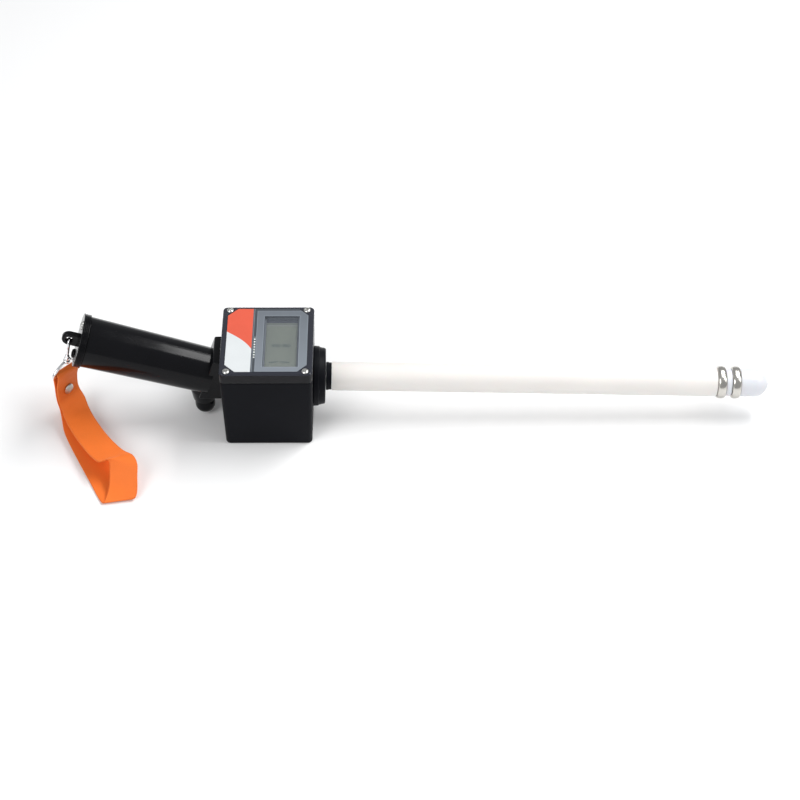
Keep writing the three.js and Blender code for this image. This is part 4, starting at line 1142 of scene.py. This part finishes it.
class METER_OT_handle(MeterOperator, bpy.types.Operator):
    """Builds the grip with its wedge block and boss, the button and the end cap with its lug"""
    bl_idname = "meter.handle"
    bl_label = "Handle"

    def build(self, s):
        gloss = gloss_plastic("grip_black", s.colours.grip)
        self.shell(s, gloss)
        self.button(s.handle, gloss_plastic("button_black", s.colours.grip))
        self.cap(s.handle, gloss)

    def shell(self, s, material):
        h = s.handle
        grip_end = span("end_cap", HANDLE)[1] - h.lug_reach - h.cap_thick - GAP
        start = grip_end - GRIP_LENGTH
        grip = turned(rounded([(0, start), (h.front_radius, start), (h.rear_radius, grip_end, 0.4 * MM),
                               (0, grip_end)]), HANDLE, 128)
        shell = piece_of(self.block(h), "grip")
        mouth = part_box("handle_shell")[0].z
        boss = turned(rounded([(0, mouth), (h.boss_end_radius, mouth, 0.8 * MM),
                               (h.boss_root_radius, mouth + h.boss_length, 2 * MM),
                               (h.boss_root_radius, mouth + BOSS_HEIGHT), (0, mouth + BOSS_HEIGHT)],
                              steps=6), UPRIGHT, 96)
        hollow_low = start + h.hollow_start
        inside = turned([(0, hollow_low), (h.front_radius - h.grip_wall, hollow_low),
                         (h.rear_radius - h.grip_wall, grip_end + MM), (0, grip_end + MM)], HANDLE, 96)
        bore = rod(h.button_radius + 0.35 * MM, mouth - MM, mouth + BORE_DEPTH, UPRIGHT, 96)
        carved(shell, ("UNION", grip), ("UNION", boss), ("DIFFERENCE", inside), ("DIFFERENCE", bore))
        finished(shell, "meter", material, ["handle_shell"], crease=28)

    def block(self, h):
        """The wedge between the case's wall and the grip."""
        lean = math.atan2(HANDLE.col[2].z, -HANDLE.col[2].x)
        low_wall, high_wall = [-case_half(z)[0] - GAP for z in (h.block_bottom, h.block_top)]
        high_face = high_wall - h.block_depth
        low_face = high_face - (h.block_top - h.block_bottom) * math.tan(lean)
        outline = [(low_wall, h.block_bottom), (high_wall, h.block_top), (high_face, h.block_top),
                   (low_face, h.block_bottom)]
        bm = lofted([[(x, y, z) for x, z in outline] for y in (-h.block_half_width, h.block_half_width)])
        edges = [edge for edge in bm.edges
                 if max(vertex.co.x for vertex in edge.verts) < min(low_wall, high_wall) - MM
                 or (edge.verts[0].co - edge.verts[1].co).normalized().cross(Vector((1, 0, 0))).length < 0.5]
        bmesh.ops.bevel(bm, geom=edges, offset=h.block_edge * 0.7, segments=4, profile=0.5, affect="EDGES")
        return bm

    def button(self, h, material):
        low, high, _ = span("measure_button", UPRIGHT)
        radius = h.button_radius
        dome = low + radius
        steps = 16
        profile = [(radius * math.cos(a), dome - radius * math.sin(a))
                   for a in (math.pi / 2 * (1 - k / steps) for k in range(steps + 1))]
        profile[0] = (0, low)
        neck, step = radius * 0.7, high - 3 * MM
        profile += rounded([(radius, dome + MM), (radius, step, 0.3 * MM), (neck, step),
                            (neck, high, 0.3 * MM), (0, high)])
        finished(piece_of(turned(profile, UPRIGHT, 96), "button"), "button", material,
                 ["measure_button"])

    def cap(self, h, material):
        low, high, _ = span("end_cap", HANDLE)
        face = high - h.lug_reach
        rim = face - h.cap_thick
        plug = h.rear_radius - h.grip_wall - 0.25 * MM
        hollow, hollow_end = plug - 2.4 * MM, rim + 2.5 * MM
        profile = [(0, hollow_end), (hollow, hollow_end, 0.4 * MM), (hollow, low, 0.3 * MM),
                   (plug, low, 0.3 * MM), (plug, rim), (h.cap_radius, rim, 0.9 * MM)]
        pitch = (h.cap_thick - 1.6 * MM) / h.ribs
        for i in range(h.ribs):
            z = rim + 0.8 * MM + i * pitch
            groove = h.cap_radius - h.rib_depth
            profile += [(h.cap_radius, z, 0.15 * MM), (groove, z + 0.25 * pitch, 0.2 * MM),
                        (groove, z + 0.5 * pitch, 0.2 * MM), (h.cap_radius, z + 0.8 * pitch, 0.15 * MM)]
        profile += [(h.cap_radius, face, 1.3 * MM), (0, face)]
        cap = piece_of(turned(rounded(profile), HANDLE, 144), "cap")
        steps = [("UNION", self.lug(h, face))]
        for node in ("cap_screw_1", "cap_screw_2"):
            centre = HANDLE.inverted() @ spot(node)
            place = HANDLE @ Matrix.Translation((centre.x, centre.y, 0))
            steps.append(("DIFFERENCE", rod(1.75 * MM, low - MM, face + MM, place)))
        carved(cap, *steps)
        finished(cap, "meter", material, ["end_cap"], crease=28)

    def lug(self, h, face):
        """A flat eye with rounded edges; its plate lies in the handle's upright plane."""
        half, thick, hole = h.lug_width / 2, h.lug_thick / 2, h.lug_hole
        centre = face + h.lug_reach - half
        steps = 40
        edge = 1.0 * MM
        lip = 0.5 * MM

        def loop(radius, y, root):
            points = []
            for k in range(steps):
                angle = 2 * math.pi * k / steps
                x, z = radius * math.cos(angle), radius * math.sin(angle)
                if root and z < 0:
                    x = math.copysign(min(radius, abs(x) * 1.6), x)
                    z = max(z * 1.6, -radius)
                    z = z * (centre - face + MM) / radius
                points.append((x, y, centre + z))
            return points

        rings = []
        for radius, reach, count, side, outer in ((half, -edge, 4, -1, True), (half, -edge, 4, 1, True),
                                                  (hole, lip, 3, 1, False), (hole, lip, 3, -1, False)):
            opening = outer == (side < 0)
            for k in range(count + 1):
                angle = math.pi / 2 * (k / count if opening else 1 - k / count)
                rings.append(loop(radius + reach * (1 - math.sin(angle)),
                                  side * (thick - abs(reach) * (1 - math.cos(angle))), outer))
        bm = bmesh.new()
        made = [[bm.verts.new(point) for point in ring] for ring in rings]
        for first, second in zip(made, made[1:] + made[:1]):
            strip(bm, first, second)
        bm.transform(HANDLE)
        return bm


class METER_OT_hook(MeterOperator, bpy.types.Operator):
    """Builds the plated snap hook, its gate and the strap's ring on a swivel"""
    bl_idname = "meter.hook"
    bl_label = "Snap hook"

    def build(self, s):
        chrome = plated_metal("hook_chrome", s.colours.chrome, 0.07)
        self.body(s.strap, chrome)
        self.gate(s.strap, chrome)
        self.ring(s.strap, chrome)

    def join(self, name, parts, place):
        """Overlapping parts joined into one closed mesh."""
        base = carved(piece_of(parts[0], name), *[("UNION", part) for part in parts[1:]])
        return moved_by(base, place)

    def body(self, s, material):
        low, high, _ = span("hook_body", HOOK)
        r = s.hook_bow
        top = high - s.wire
        swivel = low + MM
        mouth = top - r - 3.5 * MM
        bow = [(r * math.cos(a), 0, top - r + r * math.sin(a)) for a in (math.pi * k / 4 for k in range(5))]
        line = catmull([(r, 0, mouth)] + bow + [(-r, 0, swivel + 8 * MM), (-0.8 * r, 0, swivel + 3.4 * MM),
                                               (0, 0, swivel + 0.8 * MM)], 90)
        wire = swept(line, lambda t: s.wire * min(1.0, 0.72 + 4 * t), 24)
        boss = turned(rounded([(0, low), (2.5 * MM, low, 0.4 * MM), (2.5 * MM, low + 2.2 * MM, 0.5 * MM),
                               (1.7 * MM, low + 3.0 * MM, 0.3 * MM), (1.5 * MM, low + 4.2 * MM, 0.4 * MM),
                               (0, low + 4.4 * MM)], steps=4), Matrix.Identity(4), 48)
        hook = self.join("hook", [wire, boss], HOOK)
        finished(hook, "hook", material, ["hook_body"], crease=50)

    def gate(self, s, material):
        high = span("hook_gate", HOOK)[1]
        r = s.hook_bow
        foot = span("hook_body", HOOK)[0] + MM + 4.2 * MM
        line = catmull([(1.6 * MM, 0, foot), (r - 0.4 * MM, 0, foot + 2.4 * MM), (r, 0, high)], 30)
        wire = swept(line, 1.05 * MM, 24)
        outward = Matrix.Translation((r + 0.4 * MM, 0, foot + 3 * MM)) @ Matrix.Rotation(math.pi / 2, 4, "Y")
        knob = turned(rounded([(0, -1.7 * MM), (1.0 * MM, -1.7 * MM, 0.3 * MM),
                               (1.9 * MM, -0.6 * MM, 0.6 * MM), (1.9 * MM, 0.8 * MM, 0.6 * MM),
                               (1.2 * MM, 1.7 * MM, 0.4 * MM), (0, 1.7 * MM)]), outward, 32)
        gate = self.join("gate", [wire, knob], HOOK)
        finished(gate, "gate", material, ["hook_gate"], crease=50)

    def ring(self, s, material):
        low, _, _ = span("strap_ring", RING)
        half = s.ring_width / 2
        drop = -low - s.wire
        outline = [(0, -1.8 * MM), (4.5 * MM, -2.3 * MM), (half - 0.9 * MM, -drop + 3.8 * MM),
                   (half, -drop + 0.6 * MM), (half - 1.6 * MM, -drop)]
        points = outline + [(0, -drop)] + [(-x, z) for x, z in outline[:0:-1]]
        line = catmull([(x, 0, z) for x, z in points], 200, closed=True)
        wire = swept(line, s.wire, 24, closed=True)
        post = turned(rounded([(0, -3.2 * MM), (2.7 * MM, -3.1 * MM, 0.4 * MM),
                               (3.1 * MM, -2 * MM, 0.3 * MM), (3.1 * MM, -0.7 * MM, 0.4 * MM),
                               (2.4 * MM, -0.05 * MM, 0.2 * MM), (0, -0.05 * MM)]), Matrix.Identity(4), 48)
        ring = self.join("ring", [wire, post], RING)
        finished(ring, "ring", material, ["strap_ring"], crease=50)


class METER_OT_strap(MeterOperator, bpy.types.Operator):
    """Weaves the wrist strap: one closed band from the ring to the ground, with its rivet"""
    bl_idname = "meter.strap"
    bl_label = "Wrist strap"

    def build(self, s):
        steel = plated_metal("rivet_steel", s.colours.steel, 0.26)
        rivet = self.rivet(steel)
        band, length = self.band(s.strap)
        weave = woven_webbing("webbing_orange", s.colours.webbing, s.strap.width, s.strap.warp_pitch,
                              s.strap.weft_pitch)
        finished(band, "strap", weave, ["wrist_strap"], crease=60)

    def stations(self, s):
        """The band's middle and its width's direction, in millimetres, from the ring's bar round."""
        bar = Vector(JOINTS["strap_swing"]["pos_m"]) / MM
        side = Vector(JOINTS["strap_swing"]["axis"])
        level = Vector((side.x, side.y, 0)).normalized()
        out = Vector((level.y, -level.x, 0))
        clear = (s.wire + 2 * GAP + 0.75 * MM) / MM
        middle = spot("strap_rivet") / MM
        half = s.rivet_apart / MM / 2
        low = 1.05  # middle of the webbing where it lies on the ground

        def free(x, y, z, heading):
            angle = math.radians(heading)
            return Vector((bar.x + x, bar.y + y, z)), Vector((math.cos(angle), math.sin(angle), 0))

        def at_rivet(rise, offset):
            return middle + Vector((0, 0, rise)) + offset * out, level

        upper = [free(3.8, -7.5, 17.5, 43), free(7.2, -15.5, 14.4, 42), free(13.6, -28.5, 13.4, 43),
                 free(25.6, -49, 14.4, 42), free(35.5, -64, 17, 38), free(44, -74.5, 20, 30),
                 free(50.5, -78, 22, 12), free(54, -81.5, 20.6, -8), free(54.6, -89, 14, -15),
                 free(54.6, -99, 7, -11)]
        under = [free(53, -106.5, low + 2.6, -1), free(50.8, -109, low + 1.3, 10), free(47, -103.5, low, 22),
                 free(34.6, -79, low, 30), free(24, -58, low, 31), free(10.6, -30, low, 32),
                 free(6, -19, low + 1.4, 35), free(3.6, -10.5, 6.5, 39), free(1.6, -4.4, 14, 42)]
        return [(bar + Vector((0, 0, clear)), side), (bar + clear * out, side), at_rivet(7.5, half),
                at_rivet(-7.5, half), *upper, *under, at_rivet(-7.5, -half), at_rivet(7.5, -half),
                (bar - clear * out, side)]

    def band(self, s):
        stations = self.stations(s)
        count = 520
        centre = np.array(catmull([place for place, _ in stations], count, closed=True)) * MM
        across = np.array(catmull([way for _, way in stations], count, closed=True, centripetal=False))
        across /= np.linalg.norm(across, axis=1)[:, None]
        tangent = np.roll(centre, -1, 0) - np.roll(centre, 1, 0)
        normal = np.cross(tangent, across)
        normal /= np.linalg.norm(normal, axis=1)[:, None]
        steps = np.linalg.norm(np.roll(centre, -1, 0) - centre, axis=1)
        along = np.concatenate([[0], np.cumsum(steps)])
        section = self.section(s)
        bm = bmesh.new()
        rings = [[bm.verts.new(centre[i] + a * across[i] + b * normal[i]) for a, b in section]
                 for i in range(count)]
        layer = bm.loops.layers.uv.new("weave")
        for i in range(count):
            first, second = rings[i], rings[(i + 1) % count]
            for k in range(len(section)):
                m = (k + 1) % len(section)
                face = bm.faces.new((first[k], first[m], second[m], second[k]))
                places = ((section[k][0], along[i]), (section[m][0], along[i]),
                          (section[m][0], along[i + 1]), (section[k][0], along[i + 1]))
                for corner, place in zip(face.loops, places):
                    corner[layer].uv = place
        return piece_of(bm, "strap"), float(along[-1])

    def section(self, s):
        """The band's cross-section: flat faces, thicker round edges."""
        half, thick = s.width / 2, s.thick / 2
        rim = half - 1.2 * MM
        columns = [thick - half, -rim] + [half * k / 5 for k in range(-4, 5)] + [rim, half - thick]
        rise = [thick if abs(x) > half - 1.3 * MM else thick * 0.92 for x in columns]
        upper = list(zip(columns, rise))
        angles = [math.pi * k / 4 for k in (1, 2, 3)]
        ends = [(half - thick + thick * math.sin(a), thick * math.cos(a)) for a in angles]
        under = [(x, -z) for x, z in reversed(upper)]
        return upper + ends + under + [(-x, -z) for x, z in ends]

    def rivet(self, material):
        low, high, radius = span("strap_rivet", RIVET)
        shank = 1.8 * MM
        face = high - MM
        crown = [(radius, face), (radius, face + 0.3 * MM, 0.25 * MM),
                 (radius * 0.86, face + 0.72 * MM, 0.3 * MM), (radius * 0.55, face + 0.93 * MM, MM),
                 (0, high)]
        profile = [(0, low)] + [(corner[0], -corner[1], *corner[2:]) for corner in crown[-2::-1]]
        profile += [(shank, -face), (shank, face)] + crown
        piece = piece_of(turned(rounded(profile), RIVET, 64), "rivet")
        return finished(piece, "strap", material, ["strap_rivet"], crease=40)


class METER_OT_inside(MeterOperator, bpy.types.Operator):
    """Finishes the pieces inside the case and the handle, which keep their CAD shapes"""
    bl_idname = "meter.inside"
    bl_label = "Inside pieces"

    def build(self, s):
        coat(rubber("gasket_rubber", (0.008, 0.008, 0.008)), "lid_seal", "cap_seal")
        board = lacquered_board("board_green", s.colours.board)
        coat(board, "circuit_board", "sensor_board")
        dark = satin_plastic("inside_black", s.colours.case)
        coat(dark, "flange_nut", "micro_switch", "battery_tray")
        zinc = plated_metal("inside_zinc", s.colours.zinc, 0.25)
        coat(zinc, "button_spring", *[f"board_screw_{i}" for i in range(1, 5)],
             *[f"handle_screw_{i}" for i in range(1, 5)])
        coat(cell_jacket("cell_jacket", HANDLE), *[f"battery_cell_{i}" for i in range(1, 5)])


class METER_OT_studio(MeterOperator, bpy.types.Operator):
    """Sets up the camera, the pale floor and the soft lights"""
    bl_idname = "meter.studio"
    bl_label = "Studio"

    def build(self, s):
        self.camera(s.studio)
        self.floor(s)
        self.world(s.studio)
        grip = spot("handle_shell")
        head = spot("head_body")
        along = HANDLE.col[2].xyz
        self.softbox("Overhead", grip + 1.55 * Vector((0.536, 0.209, 0.818)), grip, (0.42, 1.04), 17, along)
        self.softbox("Edge", grip + 1.55 * Vector((0.455, 0.585, 0.671)), grip, (0.42, 0.035), 0.6, along)
        self.softbox("Front_left", head + Vector((-1.1, -1.3, 1.5)), head, (1.1, 1.1), 17)
        self.softbox("Right", head + Vector((1.6, -0.5, 1.3)), head + Vector((0.2, 0, 0)), (0.8, 1.2), 8)
        scene = bpy.context.scene
        scene.view_settings.view_transform = "Standard"
        scene.view_settings.look = "None"

    def camera(self, s):
        """A camera that circles its target, with a slight roll."""
        target = Vector((s.look_x, 0, s.look_z))
        flat = math.cos(s.elevation)
        back = Vector((math.sin(s.azimuth) * flat, -math.cos(s.azimuth) * flat, math.sin(s.elevation)))
        right = Vector((0, 0, 1)).cross(back).normalized()
        up = back.cross(right)
        x = right * math.cos(s.roll) + up * math.sin(s.roll)
        data = bpy.data.cameras.new("Camera")
        data.lens = s.lens
        data.sensor_width = 36
        data.clip_end = 50
        camera = bpy.data.objects.new("Camera", data)
        matrix = Matrix((x, back.cross(x), back)).transposed().to_4x4()
        matrix.translation = target + back * s.distance
        camera.matrix_world = matrix
        bpy.context.scene.collection.objects.link(camera)
        bpy.context.scene.camera = camera

    def floor(self, s):
        half = s.studio.floor_half
        level = min(CAD_BOX[0][2], 0) - 0.05 * MM
        bm = bmesh.new()
        corners = ((-1, -1), (1, -1), (1, 1), (-1, 1))
        bm.faces.new([bm.verts.new((x * half, y * half, level)) for x, y in corners])
        mesh = bpy.data.meshes.new("floor")
        bm.to_mesh(mesh)
        bm.free()
        mesh.materials.append(studio_floor("floor_pale", s.colours.floor))
        floor = bpy.data.objects.new("floor", mesh)
        bpy.context.scene.collection.objects.link(floor)

    def world(self, s):
        world = bpy.data.worlds.new("Studio")
        world.use_nodes = True
        graph = Graph(world.node_tree)
        sky = {"Color": (0.97, 0.985, 1.0, 1), "Strength": s.world_light}
        light = graph.node("ShaderNodeBackground", sockets=sky)
        output = world.node_tree.nodes.new("ShaderNodeOutputWorld")
        world.node_tree.links.new(light.socket, output.inputs["Surface"])
        bpy.context.scene.world = world

    def softbox(self, name, place, target, shape, power, along=Vector((0, 1, 0))):
        """An area light that shines at a point; its first size lies in the direction given."""
        data = bpy.data.lights.new(name, "AREA")
        data.shape = "RECTANGLE"
        data.size, data.size_y = shape
        data.energy = power
        light = bpy.data.objects.new(name, data)
        back = (place - target).normalized()
        light.matrix_world = placed(place, back, along - back * along.dot(back))
        bpy.context.scene.collection.objects.link(light)


class METER_PT_panel(bpy.types.Panel):
    """Lists the meter's pieces and their settings"""
    bl_idname = "METER_PT_panel"
    bl_label = "Grain Moisture Meter"
    bl_space_type = "VIEW_3D"
    bl_region_type = "UI"
    bl_category = "Meter"

    def draw(self, context):
        s = context.scene.grain_meter
        for operator in OPERATORS:
            self.layout.operator(operator.bl_idname)
        for group in (s.case, s.probe, s.handle, s.screws, s.strap, s.colours, s.studio):
            box = self.layout.box()
            for name in group.__annotations__:
                box.prop(group, name)


OPERATORS = (METER_OT_studio, METER_OT_case, METER_OT_lid, METER_OT_face, METER_OT_screws, METER_OT_probe,
             METER_OT_handle, METER_OT_hook, METER_OT_strap, METER_OT_inside)
GROUPS = (MeterCaseSettings, MeterProbeSettings, MeterHandleSettings, MeterScrewSettings, MeterStrapSettings,
          MeterColours, MeterStudioSettings, MeterSettings)


def register():
    for kind in (*GROUPS, *OPERATORS, METER_PT_panel):
        bpy.utils.register_class(kind)
    bpy.types.Scene.grain_meter = PointerProperty(type=MeterSettings, name="Meter",
                                                  description="Settings of the meter")


def unregister():
    del bpy.types.Scene.grain_meter
    for kind in (METER_PT_panel, *reversed(OPERATORS), *reversed(GROUPS)):
        bpy.utils.unregister_class(kind)


def main():
    register()
    for name in ("Cube", "Light", "Camera"):
        if name in bpy.data.objects:
            bpy.data.objects.remove(bpy.data.objects[name])
    for operator in OPERATORS:
        family, action = operator.bl_idname.split(".")
        getattr(getattr(bpy.ops, family), action)()


if __name__ == "__main__":
    main()
